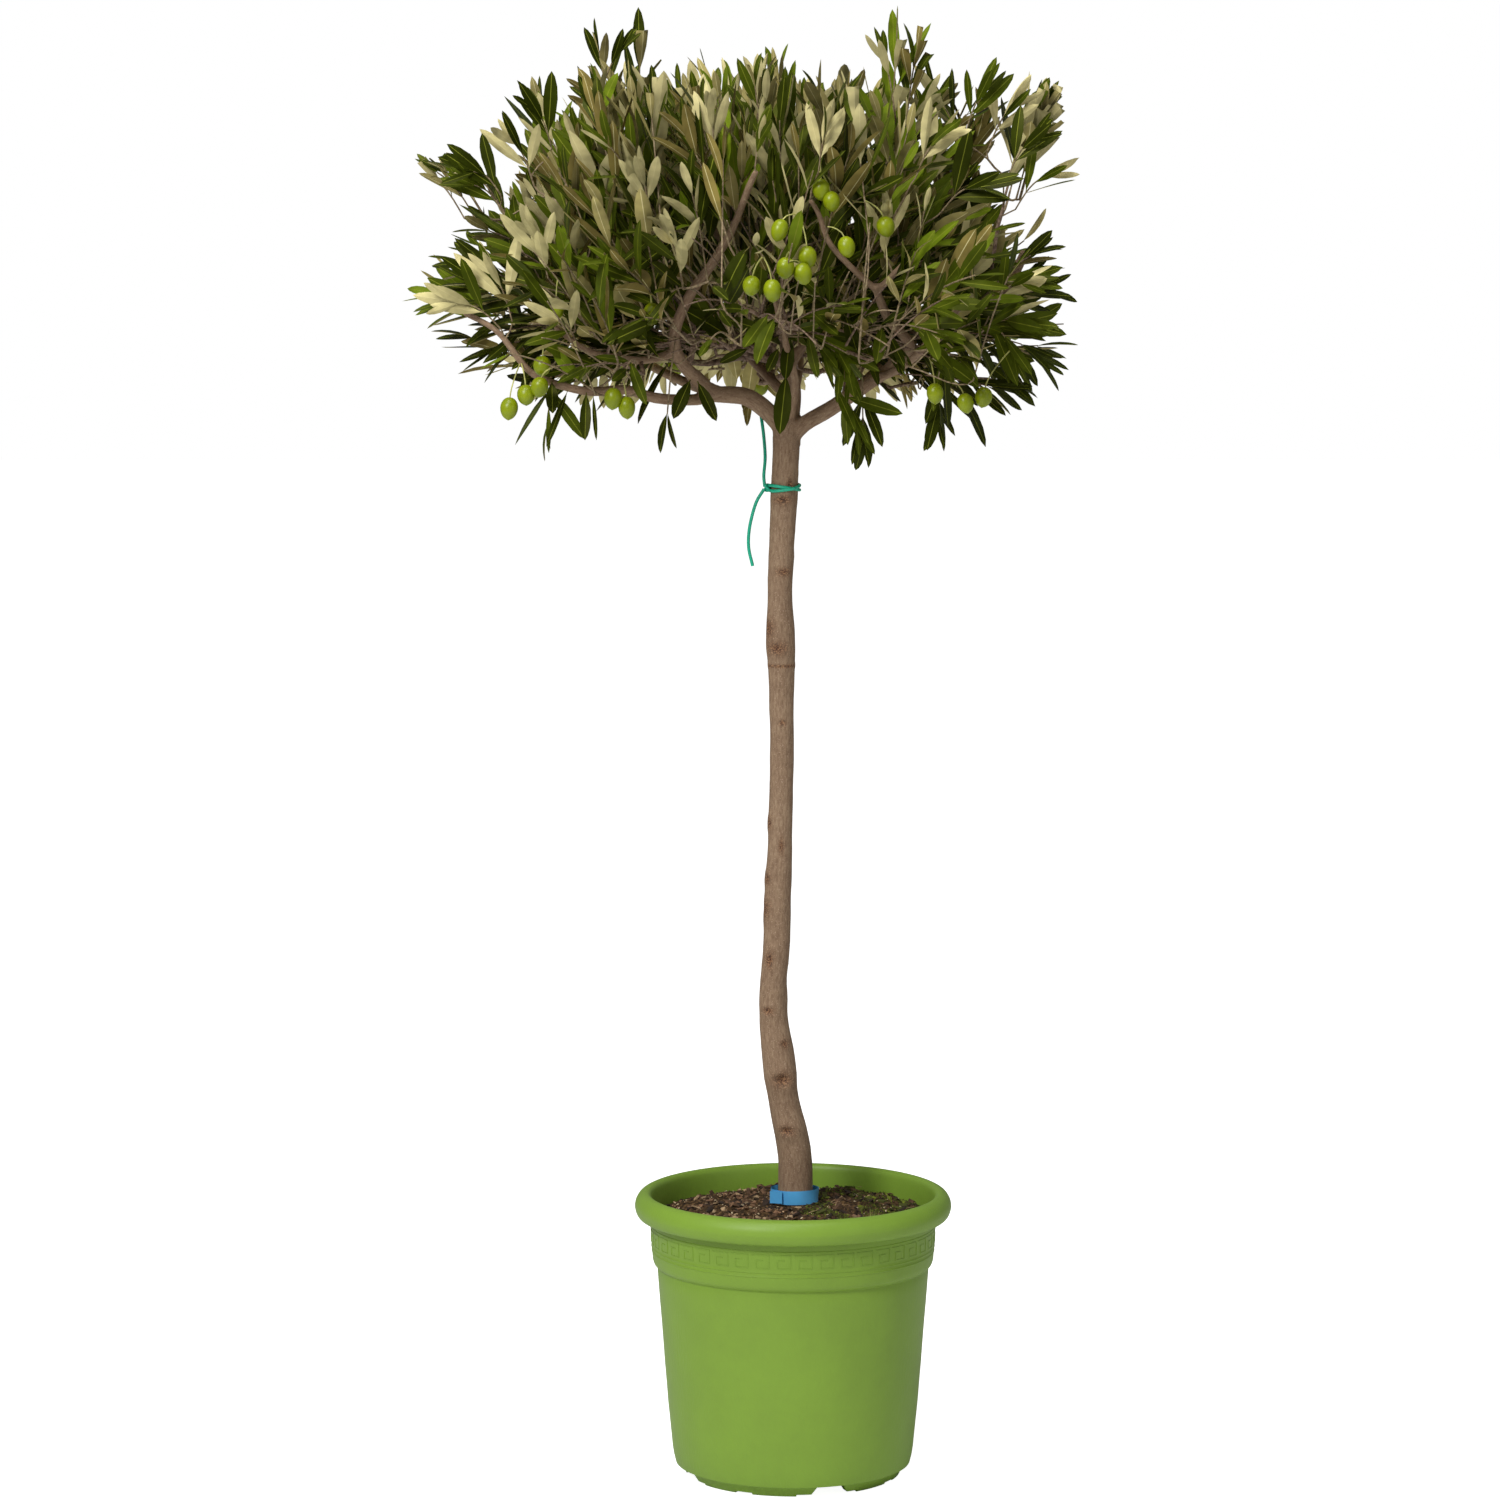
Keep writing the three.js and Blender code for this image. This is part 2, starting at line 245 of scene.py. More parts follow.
# Injection-moulded polypropylene: satin, waxy to the eye, with a fine upright drawing from the mould and
# dusty, duller patches low on the wall.
polypropylene, tree, shader = new_material("moulded_polypropylene_lime", {
    "Roughness": 0.45, "IOR": 1.49, "Specular IOR Level": 0.35})
where = add_node(tree, "ShaderNodeTexCoord")
patches = add_node(tree, "ShaderNodeTexNoise", {"Scale": 14.0, "Detail": 8.0, "Roughness": 0.68},
                   {"Vector": where.outputs["Object"]})
tint = add_node(tree, "ShaderNodeValToRGB", {"stops": [(0.34, POT_DULL), (0.62, POT_GREEN)]},
                {"Fac": patches.outputs["Fac"]})
stretch = add_node(tree, "ShaderNodeMapping", {"Scale": (1.0, 1.0, 0.28)}, {"Vector": where.outputs["Object"]})
drawing = add_node(tree, "ShaderNodeTexNoise", {"Scale": 520.0, "Detail": 3.0, "Roughness": 0.6},
                   {"Vector": stretch.outputs["Vector"]})
grain = add_node(tree, "ShaderNodeBump", {"Strength": 0.5, "Distance": 0.0005},
                 {"Height": drawing.outputs["Fac"]})
tree.links.new(tint.outputs["Color"], shader.inputs["Base Color"])
tree.links.new(grain.outputs["Normal"], shader.inputs["Normal"])

add_piece("pot_moulding", mesh_from(border, "pot_moulding"), [polypropylene], "pot", "pot",
          crease=math.radians(40))

# ---- Compost ----------------------------------------------------------------------------------------
# Peat and bark compost, heaped a little round the stem and sunk at the wall. Chips of bark, pale grit
# and rootlets lie on it, with moss over one side.

compost = turn_profile([(0, 226), (120, 226), (125.6, 232), (126.6, 236.4)]
                       + [(126.6 - 2.1 * k, 236.9 + 12.4 * (1 - (1 - k / 60) ** 1.7)) for k in range(1, 60)]
                       + [(0, 249.4)], 150)
# Clods: across, back, radius and height in millimetres.
CLODS = [(-66, -12, 15, 5.0), (-40, -34, 11, 3.0), (84, 34, 13, 8.0), (62, 8, 12, 3.5), (34, -62, 16, 3.0),
         (-92, 30, 12, 4.0), (-20, 78, 16, 5.0), (50, 84, 13, 4.0)]


def heave(x, y):
    """How far lumps and clods lift the compost at a place, in metres."""
    spot = Vector((x, y, 0.24)) / MM
    lumps = 2.2 * noise.noise(spot / 21) + 2.2 * noise.noise(spot / 7.5) + 1.2 * noise.noise(spot / 2.9)
    for across, back, radius, tall in CLODS:
        lumps += tall * math.exp(-((spot.x - across) ** 2 + (spot.y - back) ** 2) / radius**2)
    return lumps * MM


def ground_at(x, y):
    """Height of the compost's surface in metres."""
    edge = 1 - min(1.0, math.hypot(x, y) / 0.1266)
    return (236.9 + 12.4 * (1 - (1 - edge) ** 1.7)) * MM + heave(x, y) * min(1.0, edge * 12)


for v in compost.verts:
    if v.co.z > 0.2362 and v.co.xy.length < 0.1262:
        v.co.z = ground_at(v.co.x, v.co.y)


class Joined:
    """Many small shapes gathered into one mesh, each a copy of a small pattern mesh."""

    def __init__(self):
        self.places, self.faces, self.kinds, self.count = [], [], [], 0

    def put(self, pattern, matrix, kinds):
        """Adds a copy of the pattern (points, faces, kind of each face), with its kinds renumbered."""
        points, faces, face_kinds = pattern
        m = numpy.array(matrix)
        self.places.append(points @ m[:3, :3].T + m[:3, 3])
        self.faces.append([tuple(i + self.count for i in face) for face in faces])
        self.kinds.append([kinds[k] for k in face_kinds])
        self.count += len(points)

    def mesh(self, name):
        mesh = bpy.data.meshes.new(name)
        faces = [f for group in self.faces for f in group]
        mesh.from_pydata(numpy.concatenate(self.places).tolist(), [], faces)
        mesh.polygons.foreach_set("material_index", [k for group in self.kinds for k in group])
        return mesh


def pattern_from(bm, kinds=None):
    """A small mesh as a pattern: its points, faces, and the kind of each face."""
    bm.verts.index_update()
    points = numpy.array([v.co[:] for v in bm.verts])
    faces = [tuple(v.index for v in f.verts) for f in bm.faces]
    face_kinds = kinds or [f.material_index for f in bm.faces]
    bm.free()
    return points, faces, face_kinds


def shard(seed):
    """A chip of bark: a slab with no square corner."""
    dice = random.Random(seed)
    bm = bmesh.new()
    bmesh.ops.create_cube(bm, size=1)
    for v in bm.verts:
        v.co += Vector(dice.uniform(-0.3, 0.3) for _ in range(3))
    return pattern_from(bm)


dice = random.Random(11)
shards = [shard(k) for k in range(12)]
litter = Joined()
for k in range(2300):
    r = 0.1235 * math.sqrt(dice.uniform(0.02, 1))
    a = dice.uniform(0, 2 * math.pi)
    x, y = r * math.cos(a), r * math.sin(a)
    if math.hypot(x - 0.002, y) < 0.021:
        continue
    size = dice.choice([1.2, 1.6, 1.6, 2.2, 2.2, 3, 4.2, 6]) * dice.uniform(0.8, 1.25)
    mossy = x > 0.008 and noise.noise(Vector((x, y, 0)) / 0.032) > -0.28
    kind = dice.choice([0, 0, 1, 1, 2, 2, 3]) if not mossy else dice.choice([0, 0, 1, 5, 5, 5, 6])
    if size < 2.2 and dice.random() < 0.3:
        kind = 4
    place = Matrix.Translation((x, y, ground_at(x, y) + 0.1 * size * MM))
    tip = Matrix.Rotation(dice.gauss(0, 0.45), 4, "X") @ Matrix.Rotation(dice.gauss(0, 0.45), 4, "Y")
    shape = Matrix.Diagonal((size * MM, size * dice.uniform(0.35, 0.7) * MM, size * dice.uniform(0.14, 0.4) * MM, 1))
    litter.put(shards[k % 12], place @ Matrix.Rotation(dice.uniform(0, 6.3), 4, "Z") @ tip @ shape, [kind])

# Moss stands as short, close points, and the seedlings in it as a few thin blades.
tuft = bmesh.new()
bmesh.ops.create_cone(tuft, segments=4, radius1=0.5, radius2=0.02, depth=1, cap_ends=True)
moss_point = pattern_from(tuft)
for k in range(3200):
    r = 0.121 * math.sqrt(dice.uniform(0.03, 1))
    a = dice.uniform(-1.75, 1.15)
    x, y = r * math.cos(a), r * math.sin(a)
    if noise.noise(Vector((x, y, 0)) / 0.032) < -0.12 or x < 0.012:
        continue
    tall = dice.uniform(1.5, 3.2) * MM
    place = Matrix.Translation((x, y, ground_at(x, y) + tall * 0.3))
    lean = Matrix.Rotation(dice.gauss(0, 0.5), 4, "X") @ Matrix.Rotation(dice.gauss(0, 0.5), 4, "Y")
    shape = Matrix.Diagonal((1.5 * MM, 1.5 * MM, tall, 1))
    litter.put(moss_point, place @ lean @ shape, [5 if dice.random() < 0.7 else 6])
for k in range(46):
    if k < 16:
        x, y = 0.071 + dice.gauss(0, 0.006), -0.062 + dice.gauss(0, 0.006)
        tall, kind, lean = dice.uniform(6, 13), 7, dice.gauss(0, 0.3)
    else:
        a, r = dice.uniform(0, 6.3), dice.uniform(0.035, 0.115)
        x, y = r * math.cos(a), r * math.sin(a)
        tall, kind, lean = dice.uniform(8, 20), 3, dice.choice([-1, 1]) * dice.uniform(1.2, 1.5)
    middle = Matrix.Translation((x, y, ground_at(x, y) + 0.0012 + 0.42 * tall * MM * math.cos(lean)))
    turn = Matrix.Rotation(dice.uniform(0, 6.3), 4, "Z") @ Matrix.Rotation(lean, 4, "X")
    litter.put(moss_point, middle @ turn @ Matrix.Diagonal((0.7 * MM, 0.7 * MM, tall * MM, 1)), [kind])


def plain_material(name, colour, roughness, spread=0.14, scale=90.0, **finish):
    """One colour of a natural thing, a little lighter and darker from place to place."""
    settings = {"Roughness": roughness, **{key.replace("_", " "): value for key, value in finish.items()}}
    material, tree, shader = new_material(name, settings)
    where = add_node(tree, "ShaderNodeTexCoord")
    mottle = add_node(tree, "ShaderNodeTexNoise", {"Scale": scale, "Detail": 2.0},
                      {"Vector": where.outputs["Object"]})
    base = [int(colour[i : i + 2], 16) for i in (1, 3, 5)]
    low, high = ["#" + "".join(f"{max(0, min(255, round(c * f))):02x}" for c in base) for f in (1 - spread, 1 + spread)]
    tint = add_node(tree, "ShaderNodeValToRGB", {"stops": [(0.35, low), (0.65, high)]},
                    {"Fac": mottle.outputs["Fac"]})
    tree.links.new(tint.outputs["Color"], shader.inputs["Base Color"])
    return material


# Damp peat, quite matt. One noise sets both its bump and its colour: almost black in the bump's hollows and red brown
# on its crests, which is painted shade and painted light over the peat's own tones.
peat, tree, shader = new_material("damp_peat", {"Roughness": 0.95, "Specular IOR Level": 0.2})
where = add_node(tree, "ShaderNodeTexCoord")
crumb = add_node(tree, "ShaderNodeTexNoise", {"Scale": 260.0, "Detail": 4.0, "Roughness": 0.7},
                 {"Vector": where.outputs["Object"]})
# Dark where the noise is low and light where it is high, as the bump is: painted shade in the hollows, painted light on
# the crests.
tint = add_node(tree, "ShaderNodeValToRGB", {"stops": [(0.38, "#20170c"), (0.52, "#46341f"), (0.7, "#7d6140")]},
                {"Fac": crumb.outputs["Fac"]})
rough = add_node(tree, "ShaderNodeBump", {"Strength": 0.9, "Distance": 0.0012}, {"Height": crumb.outputs["Fac"]})
tree.links.new(tint.outputs["Color"], shader.inputs["Base Color"])
tree.links.new(rough.outputs["Normal"], shader.inputs["Normal"])
add_piece("compost_heap", mesh_from(compost, "compost_heap"), [peat], "compost", "compost")
litter_materials = [
    plain_material("bark_chip_dark", "#2e2014", 0.9),
    plain_material("bark_chip_brown", "#553d28", 0.9),
    plain_material("bark_chip_red", "#785940", 0.88),
    plain_material("bark_chip_pale", "#a58a68", 0.85),
    plain_material("grit", "#cdbb98", 0.8),
    plain_material("moss_dark", "#43470f", 0.95),
    plain_material("moss_bright", "#656f18", 0.9),
    plain_material("seedling", "#a9b05a", 0.7),
]
add_piece("compost_litter", litter.mesh("compost_litter"), litter_materials, "compost", crease=math.radians(20))

# ---- Stem and boughs --------------------------------------------------------------------------------
# One young olive stem, bowed above the pot, with old bud scars and pruning wounds up its length. It
# forks into spreading boughs, and all of it is one skin of smooth grey-brown bark.

# [x, y, z, radius] in millimetres, from just under the compost to the fork.
STEM = [
    (2.5, 0, 240, 18.5), (2, 0, 260, 16.2), (0.8, 0, 298, 15.6), (-9, -1, 345, 14.2), (-13, -2, 381, 15),
    (-18.8, -2, 436, 12.8), (-14.5, -1, 500, 12.2), (-11, 1, 628, 11), (-10.5, 1, 700, 11.2),
    (-11.3, 1, 764, 12.6), (-12, 0, 818, 11.3), (-9.1, 0, 885, 12), (-6, 0, 962, 13),
]
# Name: radius at the butt, radius at the tip, then the route that the limb takes.
LIMBS = {
    "left": (9.5, 7, [(-6, 0, 950), (-20, -4, 966), (-42, -14, 983), (-72, -22, 987), (-90, -28, 1003)]),
    "left_front": (7.2, 2.8, [(-80, -25, 994), (-90, -30, 1003), (-103, -38, 1020), (-105.5, -56, 1044),
                              (-91, -90, 1078), (-70, -118, 1108), (-53, -144, 1139), (-41, -166, 1170),
                              (-34, -180, 1186)]),
    "left_low": (6, 2.6, [(-66, -21, 986), (-88, -24, 981), (-122, -34, 983), (-150, -44, 991), (-182, -54, 990),
                          (-216, -64, 999), (-236, -70, 1011), (-262, -74, 1044), (-292, -74, 1061)]),
    "left_back": (6, 3, [(-52, -15, 985), (-76, 12, 987), (-105, 50, 996), (-138, 85, 1012), (-172, 124, 1042),
                         (-196, 146, 1082)]),
    "left_mid": (4.4, 2.4, [(-104, -39, 1024), (-132, -60, 1018), (-158, -84, 1022), (-184, -108, 1030),
                            (-209, -128, 1050)]),
    "right": (8.4, 4.4, [(-4, 0, 946), (10, -4, 959), (34, -9, 973), (63, -13, 993), (92, -14, 1012),
                         (135, -8, 1038), (181, 0, 1066), (207, 4, 1112)]),
    "right_front": (5.6, 3.6, [(86, -15, 1010), (103, -38, 1029.5), (84, -76, 1052.7), (74.6, -100, 1072.6),
                               (69.8, -118, 1086)]),
    "right_front_left": (3.4, 2.4, [(72, -112, 1081), (51, -130, 1100), (30, -142, 1123), (20, -150, 1149),
                                    (12.6, -158, 1161)]),
    "right_front_right": (3.1, 2.2, [(72, -112, 1081), (97, -136, 1108), (117, -150, 1124)]),
    "right_low": (4.6, 2.8, [(70, -13, 998), (90, -40, 1008), (108, -84, 1024), (124, -130, 1046), (150, -160, 1076)]),
    "right_back": (6, 3, [(56, -12, 989), (76, 22, 1006), (104, 66, 1032), (132, 110, 1064), (150, 136, 1104)]),
    "centre": (8, 3.4, [(-5, 0, 950), (0, 5, 985), (-7, 9, 1026), (-14, 8, 1080), (-26, 2, 1136), (-24, -4, 1190)]),
    "centre_right": (5.4, 3, [(-5, 8, 1008), (16, 12, 1040), (44, 8, 1084), (66, 0, 1132), (80, -6, 1180)]),
    "centre_left": (5.4, 3, [(-14, 8, 1070), (-44, 6, 1104), (-84, -4, 1142), (-122, -14, 1184), (-146, -24, 1216)]),
    "back": (8, 3, [(-5, 0, 948), (-3, 24, 974), (4, 66, 1010), (4, 118, 1042), (-6, 166, 1076), (-8, 196, 1116)]),
    "back_left": (5.4, 3, [(-1, 5, 978), (-24, 30, 1000), (-52, 62, 1030), (-80, 96, 1072), (-104, 118, 1122)]),
    "front": (4.8, 2.3, [(-6, 0, 948), (-2, -10, 971), (0.8, -30, 999), (-5.3, -60, 1024), (-13, -95, 1055),
                         (-17.4, -120, 1073), (-22, -150, 1092)]),
}
# Bud scars and pruning wounds: height on the stem, turn from the front in degrees (plus is to the right),
# half width, half height, how far it stands out, how far its middle is sunk, in millimetres.
SCARS = [
    (318, -10, 9, 6, 2.0, 1.8), (365, 6, 11, 9, 2.4, 3.4), (398, 30, 5, 5, 0.9, 0.8), (428, -20, 7, 5, 1.5, 1.6),
    (474, -26, 5, 11, 1.3, 1.7), (520, -70, 9, 12, 1.5, 0.2), (548, -62, 6, 7, 1.8, 1.2), (578, 6, 3, 9, 0.4, 1.0),
    (598, -64, 6, 7, 1.7, 0.8), (690, 2, 4, 4, 0.6, 1.0), (741, 0, 60, 1.8, 0.5, 0.0), (757, -18, 13, 8, 1.6, 0.8),
    (775, -60, 9, 12, 1.2, 0.3), (826, 15, 9, 5, 0.7, 0.2), (891, -8, 11, 6, 1.3, 0.9), (905, 24, 4, 8, 0.5, 1.2),
    (440, 120, 7, 8, 1.6, 1.4), (610, 165, 7, 6, 1.4, 1.2), (700, -150, 8, 9, 1.6, 1.0), (838, 140, 7, 7, 1.3, 1.2),
]
BARK_VOXEL = 1.45 * MM


def rods(name, runs, sides=8):
    """A mesh of round rods, each along its own run of (place, radius) pairs, closed at both ends."""
    curve = bpy.data.curves.new(name, "CURVE")
    curve.dimensions = "3D"
    curve.bevel_depth = 1.0
    curve.bevel_resolution = sides // 2 - 2
    curve.use_fill_caps = True
    for run in runs:
        spline = curve.splines.new("POLY")
        spline.points.add(len(run) - 1)
        for point, (place, radius) in zip(spline.points, run):
            point.co = (*place, 1)
            point.radius = radius
    holder = bpy.data.objects.new(name, curve)
    bpy.context.scene.collection.objects.link(holder)
    mesh = bpy.data.meshes.new_from_object(holder.evaluated_get(bpy.context.evaluated_depsgraph_get()))
    bpy.data.objects.remove(holder)
    bm = bmesh.new()
    bm.from_mesh(mesh)
    bmesh.ops.remove_doubles(bm, verts=bm.verts, dist=1e-6)
    bmesh.ops.recalc_face_normals(bm, faces=bm.faces)
    return bm


def even_run(line, gap):
    """Points about a gap apart along a line of [x, y, z, radius]."""
    fine = [Vector(p) for p in line]
    out, left = [fine[0]], 0.0
    for a, b in zip(fine, fine[1:]):
        step = (b.xyz - a.xyz).length
        while left + step >= gap:
            t = (gap - left) / step
            a = a.lerp(b, t)
            out.append(a)
            step = (b.xyz - a.xyz).length
            left = 0.0
        left += step
    return out + [fine[-1]]


def smooth_line_4(points, steps):
    """As smooth_line, with the radius carried along as a fourth number."""
    places = smooth_line([p[:3] for p in points], steps)
    widths = smooth_line([(p[3], 0, 0) for p in points], steps)
    return [(*p, w.x) for p, w in zip(places, widths)]


def limb_stations(butt, tip, route):
    last = len(route) - 1
    return [(*place, butt + (tip - butt) * (i / last) ** 0.85) for i, place in enumerate(route)]


stem_run = even_run([[c * MM for c in p] for p in smooth_line_4(STEM, 10)], 4 * MM)
limb_runs = {name: even_run([[c * MM for c in p] for p in smooth_line_4(limb_stations(*limb), 8)], 4 * MM)
             for name, limb in LIMBS.items()}
bark = rods("bark", [[(p.xyz, p.w) for p in run] for run in (stem_run, *limb_runs.values())], sides=16)

# The rods are fused into one skin, so that the boughs grow out of the stem with no seam.
fused = bpy.data.objects.new("bark", mesh_from(bark, "bark"))
bpy.context.scene.collection.objects.link(fused)
skin = fused.modifiers.new("skin", "REMESH")
skin.mode, skin.voxel_size = "VOXEL", BARK_VOXEL
skin.use_smooth_shade = True
bark_mesh = bpy.data.meshes.new_from_object(fused.evaluated_get(bpy.context.evaluated_depsgraph_get()))
bpy.data.objects.remove(fused)
bark = bmesh.new()
bark.from_mesh(bark_mesh)
for _ in range(4):
    bmesh.ops.smooth_vert(bark, verts=bark.verts, factor=0.5, use_axis_x=True, use_axis_y=True, use_axis_z=True)

# Each point of the skin learns where it lies on its own limb: across it, and how far along it.
samples = []
for run in (stem_run, *limb_runs.values()):
    along = 0.0
    for i, p in enumerate(run):
        ahead = (run[min(i + 1, len(run) - 1)].xyz - run[max(i - 1, 0)].xyz).normalized()
        samples.append((p.xyz, ahead, along, p.w, run is stem_run))
        along += (run[min(i + 1, len(run) - 1)].xyz - p.xyz).length
nearest = kdtree.KDTree(len(samples))
for i, sample in enumerate(samples):
    nearest.insert(sample[0], i)
nearest.balance()
grain = bark.verts.layers.float_vector.new("grain")
wound = bark.verts.layers.float.new("wound")
bark.normal_update()
moves = []
for v in bark.verts:
    middle, ahead, along, radius, on_stem = samples[nearest.find(v.co)[1]]
    side = ahead.cross(Vector((0, 1, 0.02))).normalized()
    front = side.cross(ahead)
    out = v.co - middle
    spot = Vector((out.dot(side), out.dot(front), along + out.dot(ahead)))
    v[grain] = spot
    mm = spot / MM
    relief = 0.45 * noise.noise(Vector((mm.x / 9, mm.y / 9, mm.z / 34)))
    relief += 0.22 * noise.noise(Vector((mm.x / 3.2, mm.y / 3.2, mm.z / 15)))
    relief += 0.5 * noise.noise(Vector((mm.x / 40, mm.y / 40, mm.z / 48 + 7)))
    scarred = 0.0
    if on_stem:
        turn = math.atan2(v.co.x - middle.x, -(v.co.y - middle.y))
        for z, degrees, wide, tall, bulge, sunk in SCARS:
            high = (v.co.z / MM - z) / tall
            if abs(high) < 3:
                round_by = (turn - math.radians(degrees) + math.pi) % (2 * math.pi) - math.pi
                away = math.hypot(round_by * radius / MM / wide, high)
                if away < 3:
                    relief += 1.3 * bulge * math.exp(-(away**2) / 1.6) - (bulge + sunk) * math.exp(-((away * 2) ** 2))
                    scarred = max(scarred, math.exp(-((away * 1.25) ** 2)))
    v[wound] = scarred
    moves.append(v.normal * relief * MM * min(1.0, radius / 0.008))
for v, move in zip(bark.verts, moves):
    v.co += move

# Smooth young bark: grey brown, redder low down and on the boughs, with fine pale and dark streaks along
# the grain, and rough, lighter wood in the wounds. Quite matt.
young_bark, tree, shader = new_material("young_olive_bark", {"Roughness": 0.78, "Specular IOR Level": 0.3})
where = add_node(tree, "ShaderNodeAttribute", {"attribute_name": "grain"})
streak_map = add_node(tree, "ShaderNodeMapping", {"Scale": (1.0, 1.0, 0.26)}, {"Vector": where.outputs["Vector"]})
streaks = add_node(tree, "ShaderNodeTexNoise", {"Scale": 560.0, "Detail": 4.0, "Roughness": 0.66},
                   {"Vector": streak_map.outputs["Vector"]})
place = add_node(tree, "ShaderNodeTexCoord")
clouds = add_node(tree, "ShaderNodeTexNoise", {"Scale": 26.0, "Detail": 3.0}, {"Vector": place.outputs["Object"]})
flecks = add_node(tree, "ShaderNodeTexNoise", {"Scale": 900.0, "Detail": 2.0}, {"Vector": where.outputs["Vector"]})
streak_tint = add_node(tree, "ShaderNodeValToRGB", {
    "stops": [(0.3, "#846c56"), (0.47, "#988069"), (0.6, "#a58e75"), (0.74, "#b39e84")]},
    {"Fac": streaks.outputs["Fac"]})
cloud_tint = add_node(tree, "ShaderNodeValToRGB", {"stops": [(0.35, "#a68a70"), (0.65, "#cbbcab")]},
                      {"Fac": clouds.outputs["Fac"]})
mixed = add_node(tree, "ShaderNodeMix", {"data_type": "RGBA", "blend_type": "MULTIPLY", 0: 0.45},
                 {6: streak_tint.outputs["Color"], 7: cloud_tint.outputs["Color"]})
speck_tint = add_node(tree, "ShaderNodeValToRGB", {"stops": [(0.62, "#000000"), (0.7, "#ffffff")]},
                      {"Fac": flecks.outputs["Fac"]})
specked = add_node(tree, "ShaderNodeMix", {"data_type": "RGBA", 7: hex_colour("#a89079")},
                   {0: speck_tint.outputs["Color"], 6: mixed.outputs[2]})
hurt = add_node(tree, "ShaderNodeAttribute", {"attribute_name": "wound"})
wound_tint = add_node(tree, "ShaderNodeValToRGB", {"stops": [(0.38, "#35211a"), (0.5, "#65432f"), (0.62, "#97714f")]},
                      {"Fac": flecks.outputs["Fac"]})
coloured = add_node(tree, "ShaderNodeMix", {"data_type": "RGBA"},
                    {0: hurt.outputs["Fac"], 6: specked.outputs[2], 7: wound_tint.outputs["Color"]})
ridges = add_node(tree, "ShaderNodeBump", {"Strength": 0.6, "Distance": 0.0007}, {"Height": streaks.outputs["Fac"]})
tree.links.new(coloured.outputs[2], shader.inputs["Base Color"])
tree.links.new(ridges.outputs["Normal"], shader.inputs["Normal"])
bough_nodes = [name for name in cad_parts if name.startswith("bough_")]
add_piece("bark_of_stem_and_boughs", mesh_from(bark, "bark_of_stem_and_boughs"), [young_bark], "bark", "trunk",
          *bough_nodes, crease=math.radians(70))

# ---- Branching --------------------------------------------------------------------------------------
# Leafy shoots end just inside the skin of each leaf mass. Taken from the fork outward, each one is joined
# by a curved twig to the limb or twig that suits it best, and twigs thicken with what they carry.

dice = random.Random(2026)
FORK_POINT = Vector((-6, 0, 955)) * MM
masses = {name: node for name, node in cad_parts.items() if name.startswith(("leaves_", "sprig_", "tuft_"))}
CROWN_MIDDLE = Vector((-0.038, 0, 1.08))
UP = Vector((0, 0, 1))


def mass_tree(node):
    bm = bmesh.new()
    bm.from_mesh(node.data)
    bmesh.ops.remove_doubles(bm, verts=bm.verts, dist=1e-5)
    made = BVHTree.FromBMesh(bm)
    bm.free()
    return made


mass_trees = {name: mass_tree(node) for name, node in masses.items()}


def depth_in(name, point):
    """How deep a point lies in a mass; less than nothing when it is outside."""
    distance = mass_trees[name].find_nearest(point)[3]
    above, normal, _, _ = mass_trees[name].ray_cast(point, UP)
    return distance if above and normal.z > 0 else -distance


# The open places: under the front of the crown the boughs show, with sky between them.
OPEN_PLACES = [((-40, -170, 1000), (120, 150, 40)), ((-60, -10, 990), (110, 90, 24)), ((70, -90, 996), (66, 100, 26))]


def openness(points):
    """For each point, 1 in the middle of an open place, falling to 0 at its edge."""
    middles, halves = (numpy.array(side) * MM for side in zip(*OPEN_PLACES))
    away = numpy.linalg.norm((numpy.atleast_2d(points)[:, None] - middles) / halves, axis=2)
    return numpy.clip(1 - away.min(axis=1), 0, None)


def rise_at(point):
    """The upward slope of a shoot: flat or drooping low in the crown, upright on top."""
    high = max(0.0, (point.z - 0.975) / 0.30)
    middle = 1 - min(1.0, (point.xy - CROWN_MIDDLE.xy).length / 0.30)
    return math.radians(min(84, -20 + 104 * high**0.75 + 34 * middle * high))


def outward(point):
    """The level way out from the crown's axis."""
    return Vector((point.x - CROWN_MIDDLE.x, point.y, 0)).normalized()


def shoot_way(point):
    rise = rise_at(point) + dice.gauss(0, 0.18)
    way = outward(point) * math.cos(rise) + UP * math.sin(rise)
    return (way + Vector(dice.gauss(0, 0.15) for _ in range(3))).normalized()


def far_enough(point, others, gap):
    return all((point - other).length_squared > gap * gap for other in others)


